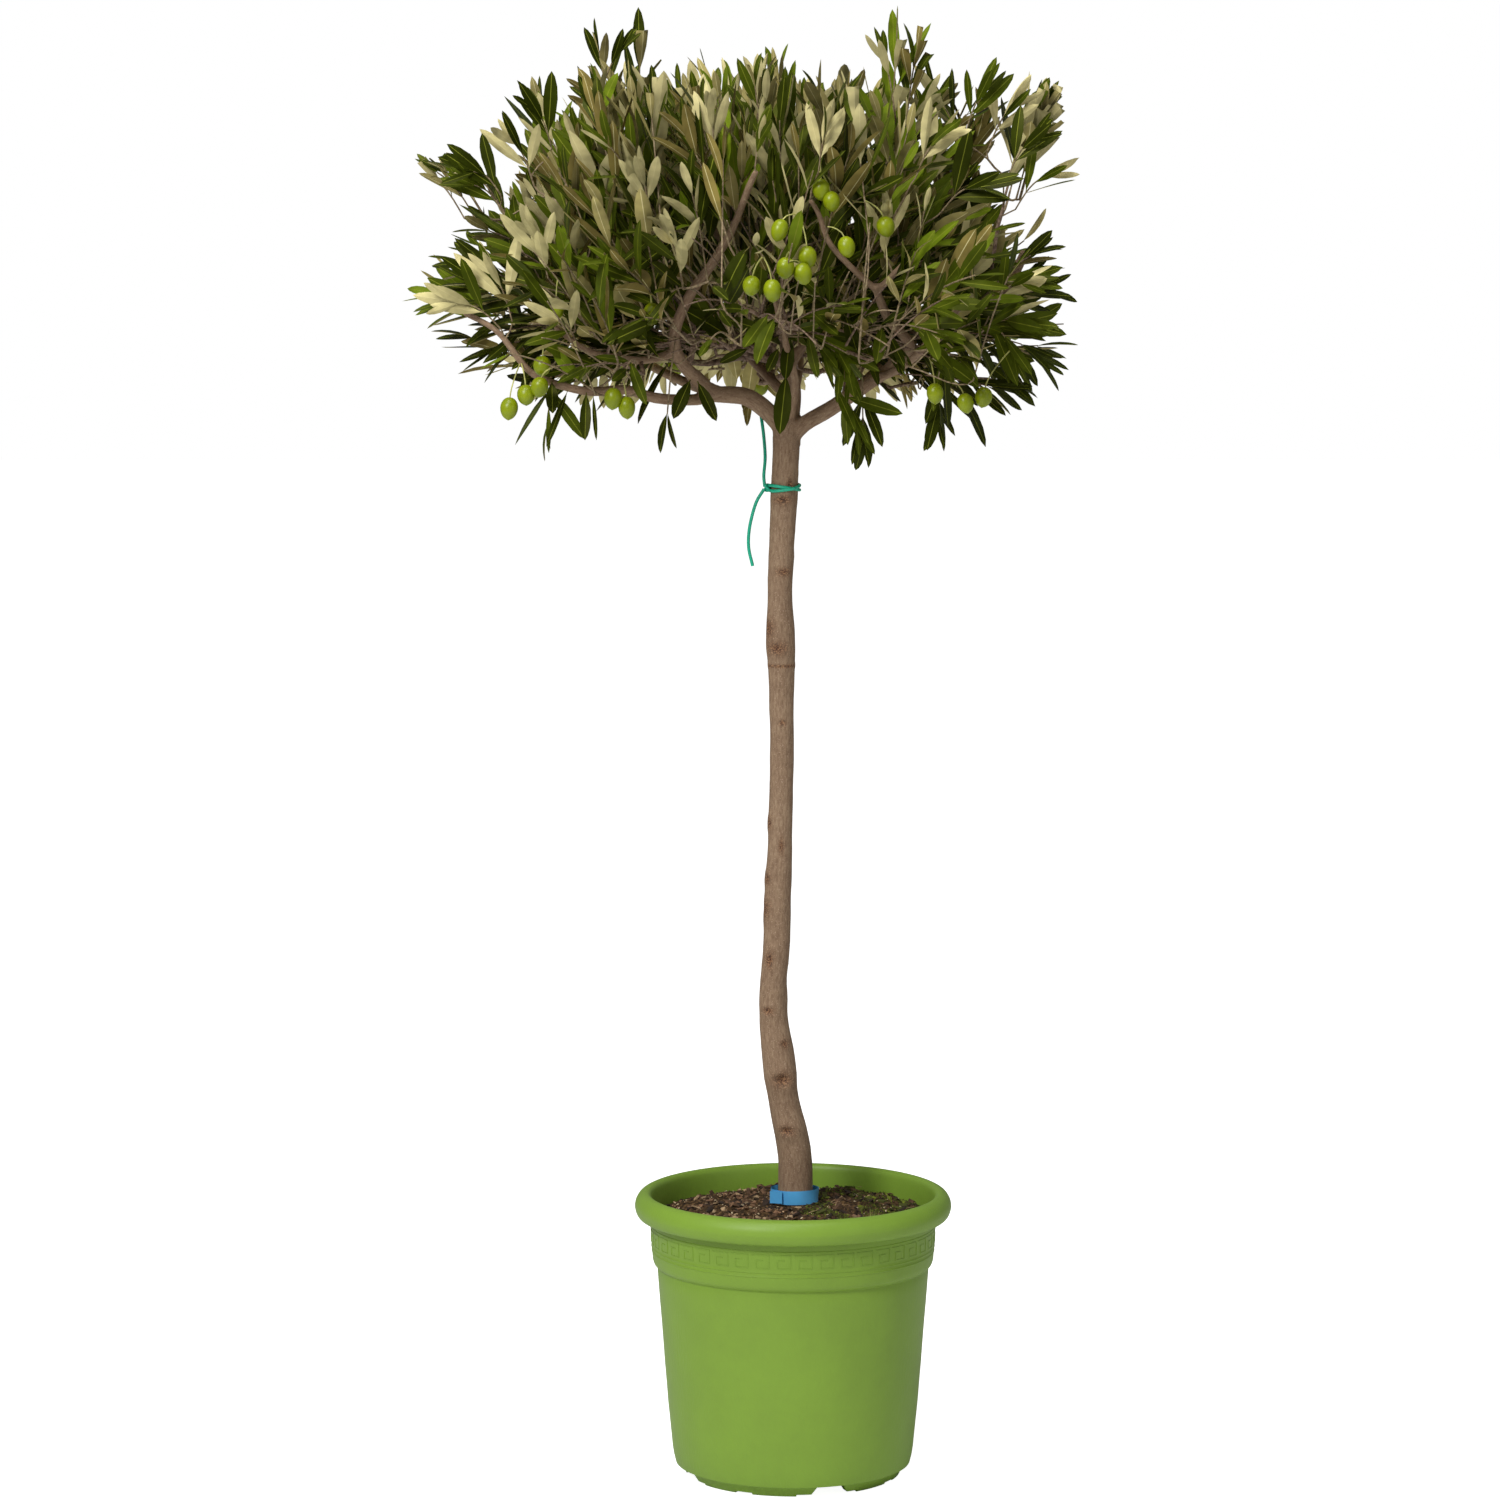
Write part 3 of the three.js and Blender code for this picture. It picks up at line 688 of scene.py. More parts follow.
# Shoots on the outer skin of the crown, each kept as its base, its tip and the mass that it belongs to.
tips = []
SKIN_GAP = 0.034
LOWEST_BASE = 0.99
for name, node in masses.items():
    if not name.startswith(("leaves_side", "leaves_shoulder", "leaves_top")):
        continue
    mesh = node.data
    mesh.calc_loop_triangles()
    corners = numpy.array([[mesh.vertices[i].co[:] for i in t.vertices] for t in mesh.loop_triangles])
    areas = numpy.linalg.norm(numpy.cross(corners[:, 1] - corners[:, 0], corners[:, 2] - corners[:, 0]), axis=1) / 2
    totals = numpy.cumsum(areas)
    for _ in range(int(totals[-1] / SKIN_GAP**2 * 7)):
        a, b, c = corners[numpy.searchsorted(totals, dice.uniform(0, totals[-1]))]
        u, w = sorted((dice.random(), dice.random()))
        point = Vector(a * u + b * (w - u) + c * (1 - w))
        out = (point - CROWN_MIDDLE - UP * 0.02).normalized()
        beyond = point + out * 0.02
        if any(depth_in(other, beyond) > 0 for other in masses if other.startswith("leaves_")):
            continue
        tip = point - out * ((0.008 if out.z < -0.25 else 0.02 if out.z > 0.5 else 0.028) + dice.uniform(0, 0.016))
        if not far_enough(tip, [t[1] for t in tips], SKIN_GAP):
            continue
        way, length = shoot_way(point), dice.uniform(0.075, 0.125)
        base = tip - (way + UP * 0.12 * max(0, way.z)) * length
        base.z = max(base.z, LOWEST_BASE)
        if openness([tip, base]).max() <= dice.uniform(0.0, 0.15):
            tips.append((base, tip, name))

# Shoots deeper in the crown, fewer of them.
inner = []
box_low, box_high = Vector((-0.33, -0.29, 0.98)), Vector((0.25, 0.29, 1.27))
for _ in range(9000):
    point = Vector(dice.uniform(box_low[i], box_high[i]) for i in range(3))
    holders = [name for name in masses if name.startswith("leaves_") and depth_in(name, point) > 0.012]
    if holders and far_enough(point, inner, 0.047) and far_enough(point, [t[1] for t in tips], 0.036):
        way, length = (shoot_way(point) + UP * 0.3).normalized(), dice.uniform(0.06, 0.10)
        base = point - (way + UP * 0.12) * length
        base.z = max(base.z, LOWEST_BASE)
        if openness([point, base]).max() <= dice.uniform(0.0, 0.1):
            inner.append(point)
            tips.append((base, point, holders[0]))

# Sprigs stand above the clipped crown, and tufts hang below it. So many shoots make up each.
SHOOTS_IN = {"sprig_top": 2, "sprig_shoulder": 5, "tuft_front": 1, "tuft_left": 1, "tuft_right": 1, "tuft_back": 2}
for name in masses:
    if name.startswith(("sprig_", "tuft_")):
        low, high = (Vector(corner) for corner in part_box(name))
        half = (high - low) / 2
        for k in range(next(count for start, count in SHOOTS_IN.items() if name.startswith(start))):
            lean = Vector((dice.uniform(-0.6, 0.6) * half.x, dice.uniform(-0.6, 0.6) * half.y, 0))
            middle = (low + high) / 2 + lean
            if name.startswith("sprig_shoulder"):
                out = Vector((math.copysign(1, middle.x + 0.038) * half.x * 0.4, 0, 0))
                tip, base = middle + out + UP * half.z * 0.3, middle - out - UP * half.z
            elif name.startswith("sprig_"):
                tip = middle + Vector((lean.x * 0.5, lean.y * 0.5, half.z - 0.036))
                base = Vector((middle.x * 0.97, middle.y, low.z - 0.03))
            else:
                tip, base = middle + lean * 0.4 - UP * half.z * 0.35, middle - lean * 0.3 + UP * half.z
            tips.append((base, tip, name))

# The sprays that stand out at the front: base and tip in millimetres, how many pairs of leaves, how long
# these are, and which side of them faces the front.
SPRAYS = [
    ((-97, -150, 1084), (-106, -184, 1124), 4, 54, "under"), ((-190, -112, 1034), (-206, -144, 1056), 4, 52, "under"),
    ((-35, -182, 1187), (-31, -192, 1212), 3, 54, "upper"), ((88, -60, 1236), (79, -70, 1280), 2, 50, "under"),
    ((-172, -60, 1246), (-154, -70, 1288), 2, 48, "upper"), ((-258, -80, 1046), (-296, -92, 1070), 3, 54, "under"),
    ((-248, -80, 1052), (-264, -84, 1094), 3, 56, "under"), ((160, -56, 1038), (196, -80, 1054), 4, 60, "upper"),
    ((178, -50, 1066), (200, -68, 1086), 3, 50, "under"), ((128, -116, 1150), (158, -134, 1172), 3, 58, "upper"),
    ((38, -76, 992), (55, -84, 964), 4, 50, "upper"), ((0, -92, 1048), (26, -112, 1026), 4, 50, "upper"),
    ((36, -96, 1034), (48, -112, 1008), 4, 48, "upper"), ((70, -90, 1050), (88, -108, 1034), 3, 48, "upper"),
    ((78, -130, 1112), (79, -148, 1146), 4, 50, "under"), ((-258, -60, 1162), (-282, -70, 1184), 3, 56, "upper"),
    ((-126, -160, 1146), (-132, -178, 1182), 3, 48, "under"), ((20, -168, 1186), (26, -180, 1220), 3, 50, "under"),
    ((104, -150, 1180), (124, -166, 1214), 3, 52, "under"), ((-70, -170, 1196), (-72, -180, 1234), 3, 50, "under"),
    ((136, -86, 1034), (126, -92, 1004), 2, 48, "upper"), ((168, -66, 1048), (192, -78, 1030), 4, 50, "upper"),
    ((34, -132, 1060), (18, -158, 1078), 3, 52, "upper"), ((-216, -100, 1092), (-228, -120, 1130), 4, 52, "under"),
    ((170, -40, 1200), (192, -46, 1240), 3, 52, "under"),
    ((186, -70, 1176), (208, -80, 1212), 3, 54, "upper"), ((150, -60, 1216), (166, -70, 1254), 3, 50, "upper"),
    ((196, -30, 1150), (224, -40, 1180), 3, 54, "under"), ((-230, -50, 1172), (-246, -60, 1208), 3, 50, "under"),
    ((-214, -46, 1204), (-228, -54, 1238), 3, 50, "upper"), ((-256, -50, 1146), (-282, -60, 1172), 3, 52, "upper"),
    ((-60, -110, 1052), (-66, -150, 1066), 3, 54, "upper"), ((-140, -96, 1020), (-150, -128, 1004), 3, 46, "upper"),
]


def mass_of(point):
    return max(masses, key=lambda name: depth_in(name, point))


spray_of = {}
for base, tip, *style in SPRAYS:
    base, tip = Vector(base) * MM, Vector(tip) * MM
    spray_of[len(tips)] = style
    tips.append((base, tip, mass_of(tip)))

# The woody skeleton that twigs can spring from.
wood_place, wood_way, wood_far, wood_parent, wood_thick, wood_can = [], [], [], [], [], []


def add_wood(place, way, parent, thick, can):
    wood_place.append(place)
    wood_way.append(way)
    wood_parent.append(parent)
    wood_thick.append(thick)
    wood_can.append(can)
    step = (place - wood_place[parent]).length if parent >= 0 else 0.0
    wood_far.append(step + (wood_far[parent] if parent >= 0 else 0.0))
    return len(wood_place) - 1


for name, run in limb_runs.items():
    parent = -1
    if wood_place:
        start = run[0].xyz
        parent = min(range(len(wood_place)), key=lambda i: (wood_place[i] - start).length)
    for i in range(0, len(run), 2):
        ahead = (run[min(i + 1, len(run) - 1)].xyz - run[max(i - 1, 0)].xyz).normalized()
        parent = add_wood(run[i].xyz.copy(), ahead, parent, run[i].w, (run[i].xyz - FORK_POINT).length > 0.045)


def curved(a, a_way, b, b_way, step=0.009):
    """Points along a curve from a to b that leaves and arrives on the given ways."""
    reach = (b - a).length
    p, q = a + a_way * reach * 0.3, b - b_way * reach * 0.25
    lowest = min(a.z, b.z) - 0.003
    count = max(2, round(reach / step))
    out = []
    for k in range(1, count + 1):
        t = k / count
        spot = a * (1 - t) ** 3 + 3 * p * t * (1 - t) ** 2 + 3 * q * t * t * (1 - t) + b * t**3
        spot.z = max(spot.z, lowest)
        out.append(spot)
    return out


twig_runs, shoots = [], []
for number in sorted(range(len(tips)), key=lambda k: (tips[k][0] - FORK_POINT).length):
    base, tip, name = tips[number]
    way, length = (tip - base).normalized(), (tip - base).length
    places = numpy.array([p[:] for p in wood_place])
    ways = numpy.array([w[:] for w in wood_way])
    to = numpy.array(base) - places
    reach = numpy.linalg.norm(to, axis=1) + 1e-6
    to /= reach[:, None]
    bend = 1 - (to * ways).sum(axis=1)
    turn = 1 - to @ numpy.array(way)
    cost = reach * (1 + 0.55 * bend + 0.5 * turn) + 0.16 * numpy.array(wood_far)
    cost += 0.25 * openness((places + numpy.array(base)) / 2)
    cost[~numpy.array(wood_can)] = 9
    root = int(cost.argmin())
    leave = (wood_way[root] * 0.5 + Vector(to[root]) * 0.8).normalized()
    joined = curved(wood_place[root], leave, base, way)
    axis = [base + (tip - base) * (k / 7) + UP * 0.006 * math.sin(math.pi * k / 7) for k in range(1, 8)]
    route = joined + axis
    wobble = Vector(dice.uniform(-9, 9) for _ in range(3))
    parent, run = root, [root]
    before = wood_place[root]
    for k, place in enumerate(route):
        sway = 0.0016 if k < len(joined) - 1 else 0.0
        place = place + noise.noise_vector(place / 0.022 + wobble) * sway
        parent = add_wood(place, (place - before).normalized(), parent, 0.0, k < len(joined) + 2)
        run.append(parent)
        before = place
    twig_runs.append(run)
    leafy = run[-(len(axis) + 1 + min(2, len(joined) // 3)):]
    shoots.append((leafy, name, spray_of.get(number)))

# A twig is as thick as what it carries asks for: from 0.75 mm at a tip.
carried = [0.0] * len(wood_place)
for run in twig_runs:
    carried[run[-1]] += 0.72**2.35
for i in range(len(wood_place) - 1, -1, -1):
    if wood_parent[i] >= 0:
        carried[wood_parent[i]] += carried[i]
for i, amount in enumerate(carried):
    if wood_thick[i] == 0.0:
        wood_thick[i] = amount ** (1 / 2.35) * MM
for run in twig_runs:
    for k in range(2, len(run)):
        wood_thick[run[k]] = min(wood_thick[run[k]], wood_thick[run[k - 1]])
    wood_thick[run[-1]] *= 0.8

# ---- Twigs ------------------------------------------------------------------------------------------
# Olive twigs are four-sided at first and grey-tan, and darken to the bark's brown as they thicken. They
# are dealt into two meshes, the thicker ones rounder.

thick_runs, thin_runs = [], []
for run in twig_runs:
    start = (wood_place[run[0]], min(wood_thick[run[0]], wood_thick[run[1]] * 1.15))
    line = [start] + [(wood_place[i], wood_thick[i]) for i in run[1:]]
    (thick_runs if wood_thick[run[1]] > 1.5 * MM else thin_runs).append(line)


def twig_material(name, low, middle, high, roughness):
    """Twig bark with fine flecks across it."""
    material, tree, shader = new_material(name, {"Roughness": roughness, "Specular IOR Level": 0.35})
    where = add_node(tree, "ShaderNodeTexCoord")
    flecks = add_node(tree, "ShaderNodeTexNoise", {"Scale": 380.0, "Detail": 3.0}, {"Vector": where.outputs["Object"]})
    tint = add_node(tree, "ShaderNodeValToRGB", {"stops": [(0.34, low), (0.5, middle), (0.68, high)]},
                    {"Fac": flecks.outputs["Fac"]})
    rough = add_node(tree, "ShaderNodeBump", {"Strength": 0.4, "Distance": 0.0004}, {"Height": flecks.outputs["Fac"]})
    tree.links.new(tint.outputs["Color"], shader.inputs["Base Color"])
    tree.links.new(rough.outputs["Normal"], shader.inputs["Normal"])
    return material


old_twig = twig_material("twig_bark_brown", "#5a4738", "#7a6453", "#96806c", 0.75)
young_twig = twig_material("twig_bark_tan", "#66563f", "#857357", "#a18f6f", 0.7)
add_piece("twigs_old", mesh_from(rods("twigs_old", thick_runs, 8), "twigs_old"), [old_twig], "bark",
          crease=math.radians(60))
add_piece("twigs_young", mesh_from(rods("twigs_young", thin_runs, 6), "twigs_young"), [young_twig], "bark",
          crease=math.radians(60))

# ---- Fruit ------------------------------------------------------------------------------------------
# Unripe green olives, oval with a small nub at the tip, each on a thin yellow-green stalk. They hang in
# twos and threes below the shoots.

# Clusters: whether they hang clear of the leaves at the front, and each fruit's place in millimetres.
FRUIT = [
    (True, [(-9, -214, 1104), (6, -210, 1099), (10, -202, 1113)]),
    (True, [(-38, -212, 1089), (-20, -218, 1085), (-14, -205, 1136)]),
    (False, [(44, -176, 1121), (22, -166, 1170), (31, -168, 1160), (78, -160, 1138), (125, -146, 1078)]),
    (False, [(-124, -166, 1063), (-208, -130, 1066), (-150, 40, 1010), (104, 60, 1020)]),
    (True, [(-251, -90, 977), (-236, -92, 989), (-224, -97, 996), (-222, -84, 1014)]),
    (True, [(-159, -114, 987), (-147, -112, 979)]),
    (True, [(123, -104, 991), (150, -96, 982), (166, -90, 987)]),
    (False, [(-120, 150, 1010), (-108, 158, 1002), (60, 190, 1040), (72, 182, 1030), (-210, 90, 1030), (-20, 236, 1080)]),
    (False, [(200, 60, 1040), (190, 72, 1032), (-290, 40, 1060), (160, 130, 1070), (-160, 196, 1090), (-30, 150, 984)]),
]
fruit_dice = random.Random(5)


def olive_pattern():
    bm = bmesh.new()
    bmesh.ops.create_uvsphere(bm, u_segments=16, v_segments=12, radius=1)
    for v in bm.verts:
        down = -v.co.z
        v.co.x *= 1 - 0.07 * down
        v.co.y *= 1 - 0.07 * down
        if down > 0.99:
            v.co.z -= 0.07
        if down < -0.99:
            v.co.z -= 0.06
    return pattern_from(bm)


olive = olive_pattern()
fruit, stalk_runs, clear_fruit = Joined(), [], []
twig_tree = kdtree.KDTree(len(wood_place))
for i, place in enumerate(wood_place):
    twig_tree.insert(place, i)
twig_tree.balance()
for clear, cluster in FRUIT:
    for x, y, z in cluster:
        place = Vector((x, y, z)) * MM
        long, wide = fruit_dice.uniform(8.8, 10) * MM, fruit_dice.uniform(7.3, 8.0) * MM
        above = place + Vector((0, 0, long + 0.016))
        hold = wood_place[twig_tree.find(above)[1]]
        lean = (place - hold).normalized()
        tilt = Vector((0, 0, -1)).lerp(lean, 0.35).normalized()
        turn = tilt.to_track_quat("-Z", "Y").to_matrix().to_4x4()
        fruit.put(olive, Matrix.Translation(place) @ turn @ Matrix.Diagonal((wide, wide, long, 1)), [0])
        top = place - tilt * long * 0.95
        stalk = [hold, *curved(hold, (top - hold + Vector((0, 0, 0.01))).normalized(), top, tilt, 0.005)]
        stalk_runs.append([(p, 0.65 * MM) for p in stalk])
        if clear:
            clear_fruit.append(place)

# Olive skin: waxy and half glossy, bright green with pale freckles.
skin, tree, shader = new_material("green_olive_skin", {"Roughness": 0.34, "IOR": 1.42, "Subsurface Weight": 0.12,
                                                       "Subsurface Radius": (0.004, 0.006, 0.002),
                                                       "Subsurface Scale": 0.5})
where = add_node(tree, "ShaderNodeTexCoord")
freckles = add_node(tree, "ShaderNodeTexVoronoi", {"Scale": 900.0}, {"Vector": where.outputs["Object"]})
dots = add_node(tree, "ShaderNodeValToRGB", {"stops": [(0.1, "#a9b347"), (0.24, "#828f05")]},
                {"Fac": freckles.outputs["Distance"]})
blush = add_node(tree, "ShaderNodeTexNoise", {"Scale": 70.0}, {"Vector": where.outputs["Object"]})
shift = add_node(tree, "ShaderNodeValToRGB", {"stops": [(0.3, "#6f7f07"), (0.7, "#96a40c")]},
                 {"Fac": blush.outputs["Fac"]})
mixed = add_node(tree, "ShaderNodeMix", {"data_type": "RGBA", 0: 0.5},
                 {6: dots.outputs["Color"], 7: shift.outputs["Color"]})
tree.links.new(mixed.outputs[2], shader.inputs["Base Color"])
add_piece("olives", fruit.mesh("olives"), [skin], "leaves", crease=math.radians(60))
stalk_green = plain_material("fruit_stalk", "#a7a65c", 0.6)
add_piece("olive_stalks", mesh_from(rods("olive_stalks", stalk_runs, 6), "olive_stalks"), [stalk_green], "leaves",
          crease=math.radians(60))

# ---- Leaves -----------------------------------------------------------------------------------------
# Olive leaves stand in opposite pairs, each pair turned a quarter from the last. A leaf is narrow and
# leathery: dark green and glossy above, silver beige with fine scales beneath, with a pale midrib.

# Rows across a leaf from stalk to tip: place along it, and share of the half width. A leaf that the shears
# have caught ends straight across.
LEAF_ROWS = [(0, 0.09), (0.07, 0.10), (0.19, 0.50), (0.37, 0.88), (0.57, 1.0), (0.76, 0.86), (0.91, 0.50), (1, 0)]
CUT_ROWS = [(0, 0.09), (0.07, 0.10), (0.19, 0.50), (0.37, 0.88), (0.52, 0.97), (0.6, 0.99)]
RIB_HALF = 0.05  # of the leaf's half width
LEAF_THICK = 0.011  # at the rib, of the leaf's length


def leaf_pattern(leaf_rows, fold, bend, twist, slim):
    """One leaf of length 1 along +Y, its upper side to +Z, and its half width slim. Face kinds: 0 upper blade,
    1 upper rib, 2 under blade, 3 under rib."""
    bm = bmesh.new()
    rows = len(leaf_rows)
    made = bmesh.ops.create_grid(bm, x_segments=3, y_segments=rows - 1, size=1)["verts"]
    grid = sorted(made, key=lambda v: (round(v.co.y, 4), v.co.x))
    sheets = []
    for under in (False, True):
        if under:
            copy = bmesh.ops.duplicate(bm, geom=list(bm.faces))
            pairs = copy["vert_map"]
            sheet = [pairs[v] for v in grid]
            bmesh.ops.reverse_faces(bm, faces=[g for g in copy["geom"] if isinstance(g, bmesh.types.BMFace)])
        else:
            sheet = grid
        sheets.append(sheet)
    for under, sheet in enumerate(sheets):
        for k, (along, wide) in enumerate(leaf_rows):
            angle = bend * along
            middle = Vector((0, math.sin(angle) / bend if bend else along, (1 - math.cos(angle)) / bend if bend else 0))
            up = Vector((0, -math.sin(angle), math.cos(angle)))
            roll = Matrix.Rotation(twist * along, 3, Vector((0, math.cos(angle), math.sin(angle))))
            for j, across in enumerate((-1, -RIB_HALF, RIB_HALF, 1)):
                share = across * wide if abs(across) == 1 else across * (1 if 0 < wide else 0) * min(1, wide * 3)
                lift = fold * abs(share) * slim
                thin = 0.0 if abs(across) == 1 or k in (0, rows - 1) else LEAF_THICK * (-0.6 if under else 0.4)
                crest = -0.004 if under and abs(across) < 1 and 0 < k < rows - 1 else 0
                out = roll @ (Vector((1, 0, 0)) * share * slim * math.cos(fold) + up * (lift + thin + crest))
                sheet[k * 4 + j].co = middle + out
    for f in bm.faces:
        rib = {grid_index % 4 for grid_index in (
            sheets[0].index(v) if v in sheets[0] else sheets[1].index(v) for v in f.verts)} == {1, 2}
        f.material_index = (1 if rib else 0) + (2 if f.verts[0] in sheets[1] else 0)
    bmesh.ops.remove_doubles(bm, verts=bm.verts, dist=1e-5)
    return pattern_from(bm)


leaf_dice = random.Random(77)
leaf_patterns, cut_patterns = [], []
for patterns, rows, count in ((leaf_patterns, LEAF_ROWS, 14), (cut_patterns, CUT_ROWS, 5)):
    for k in range(count):
        fold, bend, twist = leaf_dice.uniform(0.0, 0.4), leaf_dice.uniform(-0.45, 0.2), leaf_dice.gauss(0, 0.18)
        patterns.append(leaf_pattern(rows, fold, bend, twist, 0.086 + 0.05 * k / count))

# The three upper and three under kinds differ partly in the leaves' own tone and partly as lit and shaded copies: the
# bright upper and silver under carry painted light, the dark upper and brown under painted shade.
LEAF_KINDS = [
    ("leaf_upper_dark", "#2c3407", 0.42), ("leaf_upper_mid", "#404b0b", 0.42), ("leaf_upper_bright", "#5c6c13", 0.44),
    ("leaf_under_silver", "#c9be88", 0.7), ("leaf_under_beige", "#a0945e", 0.7),
    ("leaf_under_brown", "#82733f", 0.7), ("leaf_rib_upper", "#747a28", 0.5), ("leaf_rib_under", "#d4c994", 0.65),
]
UPPERS, UNDERS, RIB_UPPER, RIB_UNDER = (0, 1, 2), (3, 4, 5), 6, 7
leaf_materials = [plain_material(name, colour, rough, spread=0.1, scale=60.0, Specular_IOR_Level=0.18,
                                 Specular_Tint=hex_colour("#d6cf7a"))
                  for name, colour, rough in LEAF_KINDS]

# What shows at the front, with room round it: the fruit, the bare limbs, and the sprays that stand out.
FRONT = Vector((-0.039, -5.0, 1.256))
BARE_LIMBS = ("left", "left_front", "left_mid", "left_low", "right", "right_front", "right_front_left", "front")


def sight_lines(shown):
    """The way from the front to each thing that shows, how far off it is, and the room round it."""
    rays = numpy.array([(place - FRONT)[:] for place, _ in shown])
    far = numpy.linalg.norm(rays, axis=1)
    return rays / far[:, None], far, numpy.array([room for _, room in shown])


def in_the_way(a, b, sights):
    """True when a leaf from a to b would hide what shows."""
    rays, far, room = sights
    for t in (0.15, 0.35, 0.55, 0.75, 0.95):
        to = numpy.array((a.lerp(b, t) - FRONT)[:])
        along = rays @ to
        if ((along < far - 0.003) & (to @ to - along**2 < room**2)).any():
            return True
    return False


shown = [(place, 0.0115) for place in clear_fruit]
shown += [(p.xyz, 0.013) for p in limb_runs["left_front"][6:]]
sights = sight_lines(shown)
shown += [(p.xyz, p.w + 0.004) for name in BARE_LIMBS for p in limb_runs[name] if p.x < 0.12
          and (name != "right" or p.x < 0.045)]


def how_far_out(point):
    """How far a point is outside every mass; less than nothing inside one."""
    return min(-depth_in(name, point) for name in masses)


def put_leaf(name, spot, way, face, length, pattern, kinds):
    """Adds a leaf at a spot, pointing along its way, with its upper side turned to face."""
    right = way.cross(face).normalized()
    basis = Matrix((right, way, right.cross(way))).transposed().to_4x4() @ Matrix.Scale(length, 4)
    foliage[name].put(pattern, Matrix.Translation(spot) @ basis, kinds)


foliage = {name: Joined() for name in masses}
low_limit, high_limit = Vector(cad_low) - Vector((0.006,) * 3), Vector(cad_high) + Vector((0.006,) * 3)
SPREADS = (16, 27, 36, 43, 48, 52, 56, 60)  # degrees between leaf and shoot, from the tip back
SIZES = (0.62, 0.86, 1.0, 1.05, 1.05, 1.0, 0.95, 0.9)
FACES = {"upper": Vector((0, -1, 0.35)), "under": Vector((0, 1, -0.1))}

# Leaves that hang singly from the boughs at the front: stalk, tip, and half width as a share of the length.
HANGING = [
    ((-7, -54, 1006), (-13, -64, 953), 0.15), ((-92, -34, 1000), (-107, -52, 967), 0.17),
    ((-86, -34, 998), (-69, -52, 965), 0.14), ((-214, -70, 1000), (-213, -82, 973), 0.2),
    ((-200, -62, 992), (-220, -68, 942), 0.06), ((-184, -58, 990), (-185, -74, 949), 0.12),
    ((-178, -58, 988), (-175, -68, 948), 0.05), ((-62, -96, 1056), (-30, -104, 1048), 0.17),
    ((-14, -88, 1030), (-24, -96, 1010), 0.2), ((-4, -60, 1040), (-8, -74, 1002), 0.16),
    ((44, -96, 1060), (56, -112, 1024), 0.16), ((-40, -92, 1030), (-66, -98, 1018), 0.16),
]
for stalk, tip, slim in HANGING:
    stalk, tip = Vector(stalk) * MM, Vector(tip) * MM
    name = mass_of(tip)
    put_leaf(name, stalk, (tip - stalk).normalized(), FACES["upper"], (tip - stalk).length,
             leaf_pattern(LEAF_ROWS, 0.25, -0.2, 0.1, slim), [0, RIB_UPPER, 4, RIB_UNDER])
    shown.append((stalk.lerp(tip, 0.6), 0.006))

